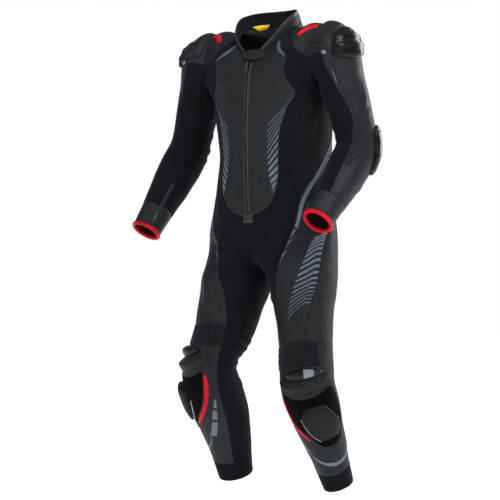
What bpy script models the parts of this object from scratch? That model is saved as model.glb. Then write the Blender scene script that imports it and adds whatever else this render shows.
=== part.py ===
"""One-piece motorcycle race suit, worn and hollow, held at the wearer's shoulders.

Metres, +Z up, the suit faces -Y and its left side is +X. The origin lies inside the
base of the neck. A quad cage of the whole garment is built from section tables, its
Catmull-Clark limit surface is the cut surface, and every panel is a thin wall on it.

A place on the surface is (chart, u, v). On a body chart u runs 0 at centre front to 10
at centre back and on round the inside of the leg to 14, and v runs 0 at the neck to 20
at the hem. On an arm chart u runs round from the underarm, 2.5 front, 5 outside, 7.5
back, and v runs 0 at the armhole to 9 at the wrist.
"""

import math

import bmesh
import bpy
import numpy as np
from mathutils import Matrix, Vector
from mathutils.geometry import delaunay_2d_cdt

# ---------------------------------------------------------------- sizes
WALL = 0.0024            # leather and stretch cloth
SEAM = 0.00027           # each panel stops this far short of its seam line
SUBDIVISION = 3          # surface samples for each cage cell are 2 to this power

BODY_COLUMNS = 10
LEG_COLUMNS = 14
ARM_COLUMNS = 10
ARMPIT_ROW = 4
CROTCH_ROW = 10
HEM_ROW = 20
WRIST_ROW = 9

# Angle round the torso of each body column, from the side seam, front negative.
COLUMN_ANGLES = (-90, -72, -55, -39, -24, 0, 24, 39, 55, 72, 90)
TORSO_SQUARENESS = 2.4   # exponent of the superellipse

# Neckline and shoulder seam, centre front to centre back: x, y, z.
TOP_FRONT = (
    (0.000, -0.112, -0.050),
    (0.062, -0.092, -0.012),
    (0.096, -0.036, 0.040),
    (0.150, -0.030, 0.050),
    (0.203, -0.027, 0.044),
)
TOP_BACK = (
    (0.072, 0.032, 0.066),
    (0.000, 0.050, 0.064),
)
# Rows above the armpit: centre front y and z, armhole front edge x, y, z.
CHEST_ROWS = (
    (1, -0.126, -0.078, 0.200, -0.075, 0.004),
    (2, -0.133, -0.106, 0.190, -0.102, -0.050),
    (3, -0.136, -0.135, 0.182, -0.100, -0.110),
)
# The same for the back: centre back y and z, armhole back edge x, y, z.
BACK_ROWS = (
    (1, 0.086, 0.018, 0.203, 0.032, 0.006),
    (2, 0.110, -0.042, 0.197, 0.064, -0.046),
    (3, 0.120, -0.104, 0.190, 0.068, -0.105),
)
CHEST_ROUNDNESS = 2.6
# Torso sections: row, z, middle x, half width, front y, back y.
TORSO_ROWS = (
    (4, -0.165, 0.000, 0.188, -0.138, 0.122),
    (5, -0.250, 0.002, 0.175, -0.142, 0.132),
    (6, -0.335, 0.002, 0.165, -0.141, 0.142),
    (7, -0.420, -0.002, 0.176, -0.138, 0.144),
    (8, -0.495, -0.006, 0.190, -0.132, 0.136),
    (9, -0.555, -0.009, 0.204, -0.127, 0.130),
    (10, -0.605, -0.010, 0.210, -0.120, 0.124),
)
# The seam between the legs, back to front: y, z.
CROTCH_X = -0.004
CROTCH_CURVE = (
    (0.108, -0.640),
    (0.025, -0.665),
    (-0.058, -0.651),
)
# Leg sections: row, share of the way from hip to hem, width, depth, shift to the front.
LEG_ROWS = (
    (11, 0.135, 0.192, 0.236, 0.000),
    (12, 0.225, 0.174, 0.208, 0.000),
    (13, 0.325, 0.158, 0.190, -0.004),
    (14, 0.430, 0.154, 0.169, -0.006),
    (15, 0.500, 0.156, 0.158, 0.002),
    (16, 0.565, 0.156, 0.158, 0.014),
    (17, 0.640, 0.150, 0.166, 0.016),
    (18, 0.755, 0.131, 0.162, 0.005),
    (19, 0.880, 0.106, 0.130, 0.000),
    (20, 1.000, 0.090, 0.106, 0.000),
)
KNEE_SHARE = 0.547       # the share of the way at which the knee bends
LEG_FIRST_ANGLE = -38.6  # column 0 from the knee's facing direction
# Arm sections: row, distance from the shoulder point, half width, half depth.
ARM_ROWS = (
    (1, 0.010, 0.080, 0.086),
    (2, 0.080, 0.068, 0.074),
    (3, 0.150, 0.063, 0.067),
    (4, 0.215, 0.059, 0.062),
    (5, 0.272, 0.060, 0.063),
    (6, 0.330, 0.062, 0.064),
    (7, 0.408, 0.057, 0.059),
    (8, 0.494, 0.048, 0.049),
    (9, 0.574, 0.042, 0.043),
)
# Joints of each limb, x outward positive, and how far the knee faces outward.
POSE = {
    "left": {
        "hip": (0.098, 0.000, -0.607),
        "knee": (0.181, -0.089, -0.982),
        "hem": (0.211, 0.026, -1.285),
        "facing": 25,
        "shoulder": (0.240, -0.035, -0.047),
        "elbow": (0.275, 0.044, -0.314),
        "wrist": (0.264, -0.143, -0.518),
    },
    "right": {
        "hip": (0.106, 0.004, -0.612),
        "knee": (0.104, -0.165, -0.926),
        "hem": (0.135, -0.016, -1.276),
        "facing": 33,
        "shoulder": (0.231, -0.035, -0.047),
        "elbow": (0.320, -0.010, -0.303),
        "wrist": (0.356, -0.177, -0.554),
    },
}
SIDES = (("left", 1), ("right", -1))
CHARTS = ("body_left", "body_right", "arm_left", "arm_right")
CHART_SHIFT = 32         # the charts lie this far apart in the cage's UV map


# ---------------------------------------------------------------- sections
def unit(vector):
    return vector / np.linalg.norm(vector)


def torso_point(angle, half_width, front, back):
    """A point of a torso section, at an angle from its side."""
    power = 2 / TORSO_SQUARENESS
    middle = (front + back) / 2
    depth = (back - front) / 2
    sine = math.sin(math.radians(angle))
    across = half_width * abs(math.cos(math.radians(angle))) ** power
    return across, middle + math.copysign(depth * abs(sine) ** power, sine)


def body_points(sign):
    """The cage points of one half of the torso, by (column, row)."""
    points = {}
    for column, (x, y, z) in enumerate(TOP_FRONT):
        points[column, 0] = (sign * x, y, z)
    for column, (x, y, z) in zip((9, 10), TOP_BACK):
        points[column, 0] = (sign * x, y, z)
    for rows, columns in ((CHEST_ROWS, (0, 1, 2, 3, 4)), (BACK_ROWS, (10, 9, 8, 7, 6))):
        for row, y, z, edge_x, edge_y, edge_z in rows:
            for step, column in enumerate(columns):
                share = step / 4
                bend = share ** CHEST_ROUNDNESS
                points[column, row] = (
                    sign * edge_x * share,
                    y + (edge_y - y) * bend,
                    z + (edge_z - z) * share,
                )
    for row, z, middle, half_width, front, back in TORSO_ROWS:
        for column, angle in enumerate(COLUMN_ANGLES):
            x, y = torso_point(angle, half_width, front, back)
            points[column, row] = (middle + sign * x, y, z)
    for column, (y, z) in zip((11, 12, 13), CROTCH_CURVE):
        points[column, CROTCH_ROW] = (CROTCH_X, y, z)
    return points


def limb_point(joints, share):
    """A point and a direction on a limb of two straight halves, rounded at the bend."""
    first, middle, last = (np.array(joint) for joint in joints)
    upper = np.linalg.norm(middle - first)
    lower = np.linalg.norm(last - middle)
    reach = share * (upper + lower) - upper
    blend = min(max(0.5 + reach / 0.16, 0), 1)
    direction = unit(unit(middle - first) * (1 - blend) + unit(last - middle) * blend)
    if reach < 0:
        place = middle + unit(middle - first) * reach
    else:
        place = middle + unit(last - middle) * reach
    pull = max(0, 1 - abs(reach) / 0.08) * 0.010
    inside = unit(last - middle) - unit(middle - first)
    return place + pull * inside, direction


def leg_points(side, sign):
    """The cage points of a leg below the crotch, by (column, row)."""
    pose = POSE[side]
    mirror = np.array((sign, 1, 1))
    joints = [mirror * pose[name] for name in ("hip", "knee", "hem")]
    points = {}
    lengths = [np.linalg.norm(joints[1] - joints[0]), np.linalg.norm(joints[2] - joints[1])]
    for row, share, width, depth, shift in LEG_ROWS:
        above = min(share / KNEE_SHARE, 1) * lengths[0]
        below = max((share - KNEE_SHARE) / (1 - KNEE_SHARE), 0) * lengths[1]
        centre, direction = limb_point(joints, (above + below) / sum(lengths))
        level = min(share / 0.5, 1)
        direction = unit(direction * level + np.array((0, 0, -1)) * (1 - level))
        facing = math.radians(pose["facing"]) * min(share / 0.45, 1)
        front = np.array((sign * math.sin(facing), -math.cos(facing), 0))
        front = unit(front - direction * front.dot(direction))
        outward = sign * np.cross(front, direction)
        for column in range(LEG_COLUMNS):
            angle = math.radians(LEG_FIRST_ANGLE + column * 360 / LEG_COLUMNS)
            offset = front * (math.cos(angle) * depth / 2 + shift)
            offset = offset + outward * math.sin(angle) * width / 2
            points[column, row] = centre + offset
    return points


def arm_points(side, sign):
    """The cage points of an arm past the armhole, by (column, row)."""
    pose = POSE[side]
    mirror = np.array((sign, 1, 1))
    joints = [mirror * pose[name] for name in ("shoulder", "elbow", "wrist")]
    length = np.linalg.norm(joints[1] - joints[0]) + np.linalg.norm(joints[2] - joints[1])
    points = {}
    for row, distance, half_width, half_depth in ARM_ROWS:
        centre, direction = limb_point(joints, distance / length)
        level = min(distance / 0.15, 1)
        direction = unit(direction * level + np.array((sign * 0.9, 0, -0.6)) * (1 - level))
        inward = np.array((-sign, 0, 0), dtype=float)
        inward = unit(inward - direction * inward.dot(direction))
        front = sign * np.cross(inward, direction)
        for column in range(ARM_COLUMNS):
            angle = math.radians(column * 360 / ARM_COLUMNS)
            offset = inward * math.cos(angle) * half_width
            offset = offset + front * math.sin(angle) * half_depth
            points[column, row] = centre + offset
    return points


# ---------------------------------------------------------------- cage and its limit surface
def armhole_column(column):
    """The body cage point that an arm's column starts from."""
    if column == 0:
        return 5, ARMPIT_ROW
    if column <= 5:
        return 4, 5 - column
    return 6, column - 5


def shared_name(side, column, row):
    """One name for each body cage point, however many charts meet there."""
    if row == 0 and 6 <= column <= 8:
        column = 10 - column
    middle = column in (0, 10) and row <= CROTCH_ROW
    middle = middle or (column > 10 and row == CROTCH_ROW)
    return ("middle" if middle else side, "body", column, row)


def build_cage():
    """Names and places of the cage points, and its quads with their chart addresses."""
    places = {}
    quads = []
    for number, (side, sign) in enumerate(SIDES):
        body = body_points(sign)
        body.update(leg_points(side, sign))
        for (column, row), place in body.items():
            places[shared_name(side, column, row)] = np.array(place, dtype=float)
        for (column, row), place in arm_points(side, sign).items():
            places[side, "arm", column, row] = np.array(place, dtype=float)

        for row in range(HEM_ROW):
            columns = range(LEG_COLUMNS if row >= CROTCH_ROW else BODY_COLUMNS)
            for column in columns:
                if row < ARMPIT_ROW and column in (4, 5):
                    continue
                corners = ((column, row), (column, row + 1), (column + 1, row + 1), (column + 1, row))
                names = [shared_name(side, c % LEG_COLUMNS, r) for c, r in corners]
                quads.append((number, sign, names, corners))
        for row in range(WRIST_ROW):
            for column in range(ARM_COLUMNS):
                corners = ((column, row), (column, row + 1), (column + 1, row + 1), (column + 1, row))
                names = []
                for c, r in corners:
                    c = c % ARM_COLUMNS
                    if r == 0:
                        names.append(shared_name(side, *armhole_column(c)))
                    else:
                        names.append((side, "arm", c, r))
                quads.append((2 + number, sign, names, corners))
    return places, quads


def limit_surface(places, quads, subdivision):
    """Positions and normals of the limit surface, an array for each chart."""
    step = 2 ** subdivision
    index = {name: number for number, name in enumerate(places)}
    faces = []
    addresses = []
    for chart, sign, names, corners in quads:
        order = (0, 1, 2, 3) if sign > 0 else (3, 2, 1, 0)
        faces.append([index[names[k]] for k in order])
        addresses.extend((CHART_SHIFT * chart + corners[k][0], corners[k][1]) for k in order)
    mesh = bpy.data.meshes.new("cage")
    mesh.from_pydata([tuple(place) for place in places.values()], [], faces)
    layer = mesh.uv_layers.new(name="chart")
    layer.data.foreach_set("uv", np.array(addresses, dtype=np.float32).ravel())
    cage = bpy.data.objects.new("cage", mesh)
    bpy.context.collection.objects.link(cage)
    smooth = cage.modifiers.new("limit", "SUBSURF")
    smooth.levels = subdivision
    smooth.render_levels = subdivision
    smooth.uv_smooth = "NONE"
    smooth.use_limit_surface = True
    fine = cage.evaluated_get(bpy.context.evaluated_depsgraph_get()).data

    corners = len(fine.loops)
    vertex = np.empty(corners, dtype=np.int32)
    fine.loops.foreach_get("vertex_index", vertex)
    uv = np.empty(corners * 2, dtype=np.float32)
    fine.uv_layers[0].data.foreach_get("uv", uv)
    uv = uv.reshape(-1, 2)
    position = np.empty(len(fine.vertices) * 3, dtype=np.float32)
    fine.vertices.foreach_get("co", position)
    normal = np.empty(len(fine.vertices) * 3, dtype=np.float32)
    fine.vertex_normals.foreach_get("vector", normal)
    position = position.reshape(-1, 3)
    normal = normal.reshape(-1, 3)

    chart = np.floor((uv[:, 0] + 0.01) / CHART_SHIFT).astype(int)
    column = np.rint((uv[:, 0] - chart * CHART_SHIFT) * step).astype(int)
    row = np.rint(uv[:, 1] * step).astype(int)
    surface = {}
    for number, name in enumerate(CHARTS):
        mine = chart == number
        shape = (HEM_ROW * step + 1, LEG_COLUMNS * step + 1, 3)
        places_grid = np.full(shape, np.nan)
        normals_grid = np.full(shape, np.nan)
        places_grid[row[mine], column[mine]] = position[vertex[mine]]
        normals_grid[row[mine], column[mine]] = normal[vertex[mine]]
        surface[name] = (places_grid, normals_grid)
    bpy.data.objects.remove(cage)
    return surface


def fitted_surface(subdivision):
    """The limit surface of a cage moved so that the surface meets the section tables."""
    targets, quads = build_cage()
    places = {name: place.copy() for name, place in targets.items()}
    address = {}
    for chart, _, names, corners in quads:
        for name, corner in zip(names, corners):
            address.setdefault(name, (CHARTS[chart], corner))
    for _ in range(4):
        coarse = limit_surface(places, quads, 1)
        for name, (chart, (column, row)) in address.items():
            places[name] += targets[name] - coarse[chart][0][row * 2, column * 2]
    return limit_surface(places, quads, subdivision)


class Surface:
    """Points and normals of the garment at any chart address."""

    def __init__(self, subdivision):
        self.step = 2 ** subdivision
        self.charts = fitted_surface(subdivision)

    def at(self, chart, u, v):
        """Position and outward normal at one address."""
        if chart.startswith("arm"):
            u = u % ARM_COLUMNS
        elif v > CROTCH_ROW - 1e-6:
            u = u % LEG_COLUMNS
        places, normals = self.charts[chart]
        row = v * self.step
        column = u * self.step
        top = min(int(row + 1e-6), places.shape[0] - 2)
        left = min(int(column + 1e-6), places.shape[1] - 2)
        down = row - top
        across = column - left
        place = np.zeros(3)
        normal = np.zeros(3)
        for r, share_r in ((top, 1 - down), (top + 1, down)):
            for c, share_c in ((left, 1 - across), (left + 1, across)):
                weight = share_r * share_c
                if weight > 1e-6:
                    place += weight * places[r, c]
                    normal += weight * normals[r, c]
        return place, unit(normal)


# ---------------------------------------------------------------- seams
# A seam runs along v (its table gives u by v) or along u (its table gives v by u).
# Each table row is a node of every panel edge that follows the seam.
BODY_SEAMS = {
    "centre front": ("v", ((0, 0), (8.25, 0), (10, 0))),
    "centre back": ("v", ((0, 10), (6, 10), (10, 10))),
    "shield": ("v", (
        (0, 1.35), (0.7, 1.9), (1.6, 2.7), (2.5, 2.75), (3.75, 3.0), (4.5, 2.25),
        (5.2, 2.0), (6.5, 1.95), (7.25, 1.6), (7.9, 0.95), (8.15, 0.4), (8.25, 0))),
    "yoke": ("u", ((1.75, 0), (2.4, 0.6), (3.2, 1.4), (4, 2.1))),
    "neck and shoulder": ("u", ((0, 0), (1.35, 0), (1.75, 0), (2, 0), (4, 0))),
    "back neck and shoulder": ("u", ((6, 0), (8, 0), (10, 0))),
    "armhole front": ("v", ((0, 4), (2.1, 4), (3.25, 4), (3.75, 4), (4, 4))),
    "armhole back": ("v", ((0, 6), (4, 6))),
    "underarm": ("u", ((4, 4), (6, 4))),
    "chest arc": ("u", ((3.0, 3.75), (3.5, 3.95), (4, 4))),
    "rib panel": ("v", ((4, 4), (4.5, 3.6), (5.25, 3.15), (6.5, 3.05), (7.1, 3.1), (7.6, 3.27))),
    "hip": ("v", (
        (4, 6), (5.25, 5.9), (6, 5.2), (6.75, 4.4), (7.2, 3.8), (7.6, 3.27), (8.2, 2.85), (9, 2.35),
        (10, 1.75), (10.5, 1.3), (11, 0.8), (11.5, 0.35), (12, -0.1), (13, -0.95), (13.75, -1.5), (14.95, -1.75),
        (17, -2), (19.4, -1.6))),
    "waist": ("u", ((5.2, 6), (10, 6))),
    "print top": ("u", ((2.35, 9), (5, 9))),
    "thigh": ("v", ((9, 5.0), (10, 4.6), (11, 3.9), (12.1, 3.2), (13, 2.5), (13.75, 1.9))),
    "crotch row": ("u", ((0, 10), (1.75, 10), (10, 10), (14, 10), (15.75, 10))),
    "back leg": ("v", ((10, 10), (10.5, 9.85), (11, 9.65), (11.5, 9.4), (12, 9.2), (13.75, 8.8))),
    "knee top": ("u", ((-1.5, 13.75), (1.9, 13.75), (3.2, 13.75), (6.5, 13.75),
                       (8.8, 13.75), (12.5, 13.75))),
    "knee bottom": ("u", ((-1.75, 14.95), (3.2, 14.95))),
    "knee side": ("v", ((13.75, 3.2), (14.95, 3.2))),
    "calf": ("v", ((13.75, 6.5), (19.4, 6.5))),
    "hem": ("u", ((-1.6, 19.4), (6.5, 19.4), (12.4, 19.4))),
}
ARM_SEAMS = {
    "armhole": ("u", ((2.9, 0), (7.5, 0), (11.25, 0), (11.75, 0), (12.9, 0))),
    "sleeve front": ("v", ((0, 2.9), (1.4, 2.65), (2.1, 3.0), (3.4, 3.55), (4.9, 3.1),
                           (6.8, 3.2), (8, 3.3))),
    "sleeve back": ("v", ((0, 7.5), (3.4, 7.6), (8, 7.6))),
    "elbow top": ("u", ((3.55, 3.4), (4.8, 3.4), (7.6, 3.4))),
    "forearm": ("v", ((3.4, 4.8), (5, 4.6), (6, 4.2), (6.8, 3.7))),
    "elbow bottom": ("u", ((3.2, 6.8), (3.7, 6.8))),
    "wrist": ("u", ((3.3, 8), (7.6, 8), (13.3, 8))),
}
# Each panel: chart kind, edge as (seam, from, to, shift of u), material, ribs.
PANELS = {
    "front_shield": ("body", (
        ("neck and shoulder", 0, 1.35, 0), ("shield", 0, 8.25, 0),
        ("centre front", 8.25, 0, 0)), "leather", None),
    "chest_stretch": ("body", (
        ("neck and shoulder", 1.35, 1.75, 0), ("yoke", 1.75, 4, 0),
        ("armhole front", 2.1, 4, 0), ("chest arc", 4, 3.0, 0), ("shield", 3.75, 0, 0)),
        "stretch", None),
    "yoke": ("body", (
        ("neck and shoulder", 1.75, 4, 0), ("armhole front", 0, 2.1, 0),
        ("yoke", 4, 1.75, 0)), "leather", None),
    "front_stretch": ("body", (
        ("chest arc", 3.0, 4, 0), ("rib panel", 4, 7.6, 0), ("hip", 7.6, 10, 0),
        ("crotch row", 1.75, 0, 0), ("centre front", 10, 8.25, 0),
        ("shield", 8.25, 3.75, 0)), "stretch", None),
    "side_panel": ("body", (
        ("underarm", 4, 6, 0), ("hip", 4, 7.6, 0), ("rib panel", 7.6, 4, 0)),
        "stretch", None),
    "back_upper": ("body", (
        ("back neck and shoulder", 6, 10, 0), ("centre back", 0, 6, 0),
        ("waist", 10, 5.2, 0), ("hip", 6, 4, 0), ("armhole back", 4, 0, 0)),
        "leather", None),
    "hip_outer": ("body", (
        ("waist", 5.2, 10, 0), ("centre back", 6, 10, 0), ("back leg", 10, 13.75, 0),
        ("knee top", 8.8, 1.9, 0), ("thigh", 13.75, 9, 0), ("print top", 5, 2.35, 0),
        ("hip", 9, 6, 0)), "leather", None),
    "thigh_front": ("body", (
        ("print top", 2.35, 5, 0), ("thigh", 9, 13.75, 0), ("knee top", 1.9, -1.5, 0),
        ("hip", 13.75, 9, 0)), "leather", None),
    "inner_leg": ("body", (
        ("crotch row", 10, 15.75, 0), ("hip", 10, 13.75, 14), ("knee top", 12.5, 8.8, 0),
        ("back leg", 13.75, 10, 0)), "stretch", None),
    "leg_back": ("body", (
        ("knee top", 6.5, 12.5, 0), ("hip", 13.75, 19.4, 14), ("hem", 12.4, 6.5, 0),
        ("calf", 19.4, 13.75, 0)), "stretch", None),
    "knee_stretch": ("body", (
        ("knee top", -1.5, 3.2, 0), ("knee side", 13.75, 14.95, 0),
        ("knee bottom", 3.2, -1.75, 0), ("hip", 14.95, 13.75, 0)), "stretch", "knee"),
    "shin": ("body", (
        ("knee bottom", -1.75, 3.2, 0), ("knee side", 14.95, 13.75, 0),
        ("knee top", 3.2, 6.5, 0), ("calf", 13.75, 19.4, 0), ("hem", 6.5, -1.6, 0),
        ("hip", 19.4, 14.95, 0)), "leather", None),
    "sleeve_outer": ("arm", (
        ("armhole", 2.9, 7.5, 0), ("sleeve back", 0, 3.4, 0), ("elbow top", 7.6, 3.55, 0),
        ("sleeve front", 3.4, 0, 0)), "leather", None),
    "elbow_stretch": ("arm", (
        ("elbow top", 3.55, 4.8, 0), ("forearm", 3.4, 6.8, 0),
        ("elbow bottom", 3.7, 3.2, 0), ("sleeve front", 6.8, 3.4, 0)), "stretch", None),
    "forearm_outer": ("arm", (
        ("elbow top", 4.8, 7.6, 0), ("sleeve back", 3.4, 8, 0), ("wrist", 7.6, 3.3, 0),
        ("sleeve front", 8, 6.8, 0), ("elbow bottom", 3.2, 3.7, 0),
        ("forearm", 6.8, 3.4, 0)), "leather", None),
    "sleeve_inner": ("arm", (
        ("armhole", 7.5, 12.9, 0), ("sleeve front", 0, 8, 10), ("wrist", 13.3, 7.6, 0),
        ("sleeve back", 8, 0, 0)), "stretch", None),
}
# Rings all round a limb: chart kind, rows from and to, extra nodes, material.
RINGS = {
    "hem": ("body", 19.4, 20, "hem", "stretch"),
    "cuff": ("arm", 8, 8.8, "wrist", "leather"),
}
BINDING_ROWS = (8.8, 9.0)
# Accordion ribs of a panel: how many and how high.
RIBS = {
    "knee": {"count": 9, "height": 0.0024},
}
NODE_STEP_U = 0.5
NODE_STEP_V = 1.0
SHOULDER_ROW = 0.5       # one more row of nodes, because row 1 is far from row 0 there
U_TO_V = 0.75            # a step of u is this many steps of v long, on average
EDGE_MARGIN = 0.22       # inner points keep this far from a panel's edge, in v
RIB_MARGIN = 0.06

# What lies on the panels: chart kind, corners, clearance, height at rim and peak, material.
RAISED = {
    "knee_pad": ("body", (
        (-0.9, 15.46), (-0.1, 15.5), (0.6, 15.7), (1.6, 15.78), (2.6, 15.72), (3.3, 15.52),
        (3.9, 15.46), (3.75, 15.9), (3.2, 16.2), (2.2, 16.38), (1.2, 16.4), (0.2, 16.3),
        (-0.6, 15.98)), 0.0009, 0.004, 0.016, "pad"),
    "knee_cup": ("body", (
        (-0.1, 15.3), (0.7, 15.1), (1.6, 15.05), (2.6, 15.12), (3.3, 15.35), (2.6, 15.56),
        (1.6, 15.64), (0.7, 15.56)), 0.0007, 0.004, 0.018, "gloss"),
    "velcro": ("body", (
        (-0.55, 16.5), (0.3, 16.56), (1.2, 16.6), (2.2, 16.6), (3.2, 16.46), (4.1, 16.24),
        (4.7, 16.9), (4.6, 17.7), (3.9, 18.2), (2.8, 18.34), (1.75, 18.26), (1.1, 17.86),
        (0.5, 17.56), (-0.05, 17.24), (-0.45, 16.88)), 0.0010, 0.0018, 0.0018, "velcro"),
    "knee_slider": ("body", (
        (0.9, 17.1), (1.3, 16.84), (2.7, 16.78), (3.4, 17.0), (3.9, 17.6), (3.4, 17.98),
        (2.1, 18.0), (1.2, 17.66)), 0.0046, 0.009, 0.021, "gloss"),
    "shoulder_cup": ("arm", (
        (3.3, 0.95), (3.8, 0.45), (4.9, 0.3), (6.0, 0.45), (6.5, 1.0), (6.0, 1.6),
        (4.9, 1.75), (3.8, 1.55)), 0.0020, 0.004, 0.014, "gloss"),
    "elbow_slider": ("arm", (
        (5.1, 4.6), (5.6, 4.2), (6.3, 4.2), (6.8, 4.7), (6.9, 5.5), (6.5, 6.2), (5.8, 6.2),
        (5.2, 5.5)), 0.0009, 0.004, 0.012, "gloss"),
    "red_band": ("body", (
        (2.7, 0.42), (3.05, 0.18), (3.8, 0.2), (3.5, 0.5)), 0.0008, 0.0012, 0.0012, "red"),
}
# The red strip beside the shin's field: (u, v) of its middle.
PIPING_PATH = ((-0.9, 16.26), (-1.0, 16.6), (-0.9, 17.0), (-0.5, 17.4), (0.1, 17.72), (0.72, 17.98))
PIPING = {"half_width": 0.005, "clearance": 0.0009, "height": 0.002}
# The main zip down the centre front.
ZIP = {"top": 0.35, "bottom": 8.05, "half_width": 0.0055, "clearance": 0.0006, "height": 0.0018}
# The collar's top edge: place along the neckline (0 front, 2 side, 4 back), x, y, z.
COLLAR_TOP = (
    (0.45, 0.030, -0.1125, -0.026),
    (1.20, 0.077, -0.093, 0.026),
    (2.00, 0.098, -0.040, 0.080),
    (3.00, 0.062, 0.018, 0.101),
    (4.00, 0.000, 0.046, 0.104),
)
COLLAR_WALL = 0.003
COLLAR_STATIONS = 15     # on each side
COLLAR_ROWS = 4
# The throat tab across the collar's ends.
TAB = {"middle_x": 0.011, "middle_z": -0.0400, "half_width": 0.042, "half_height": 0.0155,
       "back_y": -0.1164, "slope": 0.25, "curve": 0.002, "wall": 0.003, "points": 20}
# The size label inside the back of the neck, under the collar seam, on one side only.
LABEL = ("body", ((8.6, 0.04), (8.92, 0.03), (9.25, 0.04), (9.14, 0.22), (8.95, 0.34), (8.74, 0.24)),
         -WALL - 0.0032, 0.0007, 0.0007, "label")
# Zip slider and its pull tab, in their own frame: across, down the zip, out from it.
SLIDER = {"row": 0.62, "width": 0.009, "length": 0.013, "height": 0.0042, "gap": 0.0004,
          "lug": 0.0013, "lug_length": 0.0036, "pin": 0.0008}
PULL = {"width": 0.0054, "length": 0.027, "wall": 0.0016, "eye": 0.0026, "hole": 0.0013}


def seams_of(kind):
    return BODY_SEAMS if kind == "body" else ARM_SEAMS


def smooth_value(table, t):
    """A table's value at t, on a curve through its rows."""
    xs = [row[0] for row in table]
    ys = [row[1] for row in table]
    if len(xs) == 2:
        return ys[0] + (ys[1] - ys[0]) * (t - xs[0]) / (xs[1] - xs[0])
    k = max(j for j in range(len(xs) - 1) if xs[j] <= t + 1e-9)
    steps = [(ys[j + 1] - ys[j]) / (xs[j + 1] - xs[j]) for j in range(len(xs) - 1)]
    slopes = [steps[0]] + [0] * (len(xs) - 2) + [steps[-1]]
    for j in range(1, len(xs) - 1):
        if steps[j - 1] * steps[j] > 0:
            slopes[j] = 2 * steps[j - 1] * steps[j] / (steps[j - 1] + steps[j])
    width = xs[k + 1] - xs[k]
    s = (t - xs[k]) / width
    return (ys[k] * (1 + 2 * s) * (1 - s) ** 2 + slopes[k] * width * s * (1 - s) ** 2
            + ys[k + 1] * s * s * (3 - 2 * s) + slopes[k + 1] * width * s * s * (s - 1))


def node_values(table, along, step, start, end):
    """The seam's nodes between two of its values, in that order."""
    low, high = min(start, end), max(start, end)
    values = {round(row[0], 4) for row in table}
    first, last = table[0][0], table[-1][0]
    for added in multiples(step, first, last) if along == "u" else rows(step, first, last):
        if all(abs(added - value) > 0.3 * step for value in values):
            values.add(round(added, 4))
    nodes = sorted(value for value in values if low - 1e-6 <= value <= high + 1e-6)
    return nodes if end > start else nodes[::-1]


def edge_nodes(kind, edge):
    """The chart addresses all round a panel, from its seams."""
    nodes = []
    for name, start, end, shift in edge:
        along, table = seams_of(kind)[name]
        step = NODE_STEP_U if along == "u" or name.startswith("armhole") else NODE_STEP_V
        for value in node_values(table, along, step, start, end):
            other = smooth_value(table, value)
            node = (value + shift, other) if along == "u" else (other + shift, value)
            if not nodes or math.dist(node, nodes[-1]) > 0.02:
                nodes.append(node)
    if math.dist(nodes[0], nodes[-1]) < 0.02:
        nodes.pop()
    return nodes


def edge_distance(outline, address):
    """Distance from an address to the nearest edge, in steps of v; negative outside."""
    edge = np.array(outline) * (U_TO_V, 1)
    ahead = np.roll(edge, -1, axis=0)
    run = ahead - edge
    x, y = address[0] * U_TO_V, address[1]
    inside = False
    for (x1, y1), (x2, y2) in zip(edge, ahead):
        if (y1 > y) != (y2 > y) and x < x1 + (y - y1) / (y2 - y1) * (x2 - x1):
            inside = not inside
    share = np.sum(((x, y) - edge) * run, axis=1) / np.sum(run * run, axis=1)
    foot = edge + run * np.clip(share, 0, 1)[:, None]
    gap = np.min(np.linalg.norm(foot - (x, y), axis=1))
    return gap if inside else -gap


def multiples(step, low, high):
    """The multiples of a step between two values."""
    return [k * step for k in range(math.ceil(low / step), math.floor(high / step) + 1)]


def rows(step, low, high):
    """The multiples of a step between two values, and the shoulder's half row."""
    values = multiples(step, low, high)
    return sorted(set(values + [SHOULDER_ROW])) if low < SHOULDER_ROW < high else values


def inside_points(outline, us, vs, margin):
    """Grid points inside an outline that keep clear of its edge."""
    grid = [(u, v) for v in vs for u in us]
    return [point for point in grid if edge_distance(outline, point) > margin]


def span(outline, axis):
    values = [point[axis] for point in outline]
    return min(values), max(values)


# ---------------------------------------------------------------- solids
def make_object(name, points, faces, material):
    mesh = bpy.data.meshes.new(name)
    mesh.from_pydata([tuple(point) for point in points], [], faces)
    mesh.validate()
    mesh.materials.append(make_material(name, COLOURS[material]))
    piece = bpy.data.objects.new(name, mesh)
    bpy.context.collection.objects.link(piece)
    return piece


def triangles_in(outline, inner):
    """Triangles over an outline and inner points, counter-clockwise in (u, v)."""
    scaled = [(u * U_TO_V, v) for u, v in outline + inner]
    count = len(outline)
    _, _, faces, origins, _, _ = delaunay_2d_cdt(
        scaled, [], [list(range(count))], 1, 1e-7, True)
    triangles = [[origins[corner][0] for corner in face] for face in faces]
    everything = np.array(outline + inner)
    return [face for face in triangles
            if edge_distance(outline, everything[face].mean(axis=0)) > 0]


def signed_area(outline):
    return sum(a[0] * b[1] - b[0] * a[1]
               for a, b in zip(outline, outline[1:] + outline[:1])) / 2


def lay_out(chart, outline, inner, inset):
    """Places, normals and faces of a patch, its edge moved in by inset."""
    if signed_area(outline) < 0:
        outline = outline[::-1]
    sheet = [SURFACE.at(chart, u, v) for u, v in outline + inner]
    places = np.array([place for place, _ in sheet])
    normals = np.array([normal for _, normal in sheet])
    faces = triangles_in(outline, inner)
    hand = -1 if chart.endswith("left") else 1
    count = len(outline)
    edge = places[:count].copy()
    for k in range(count):
        before = unit(edge[k] - edge[k - 1])
        after = unit(edge[(k + 1) % count] - edge[k])
        one = hand * np.cross(normals[k], before)
        two = hand * np.cross(normals[k], after)
        middle = unit(one + two)
        places[k] += middle * inset / max(middle.dot(one), 0.4)
    return places, normals, faces, count, hand


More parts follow.
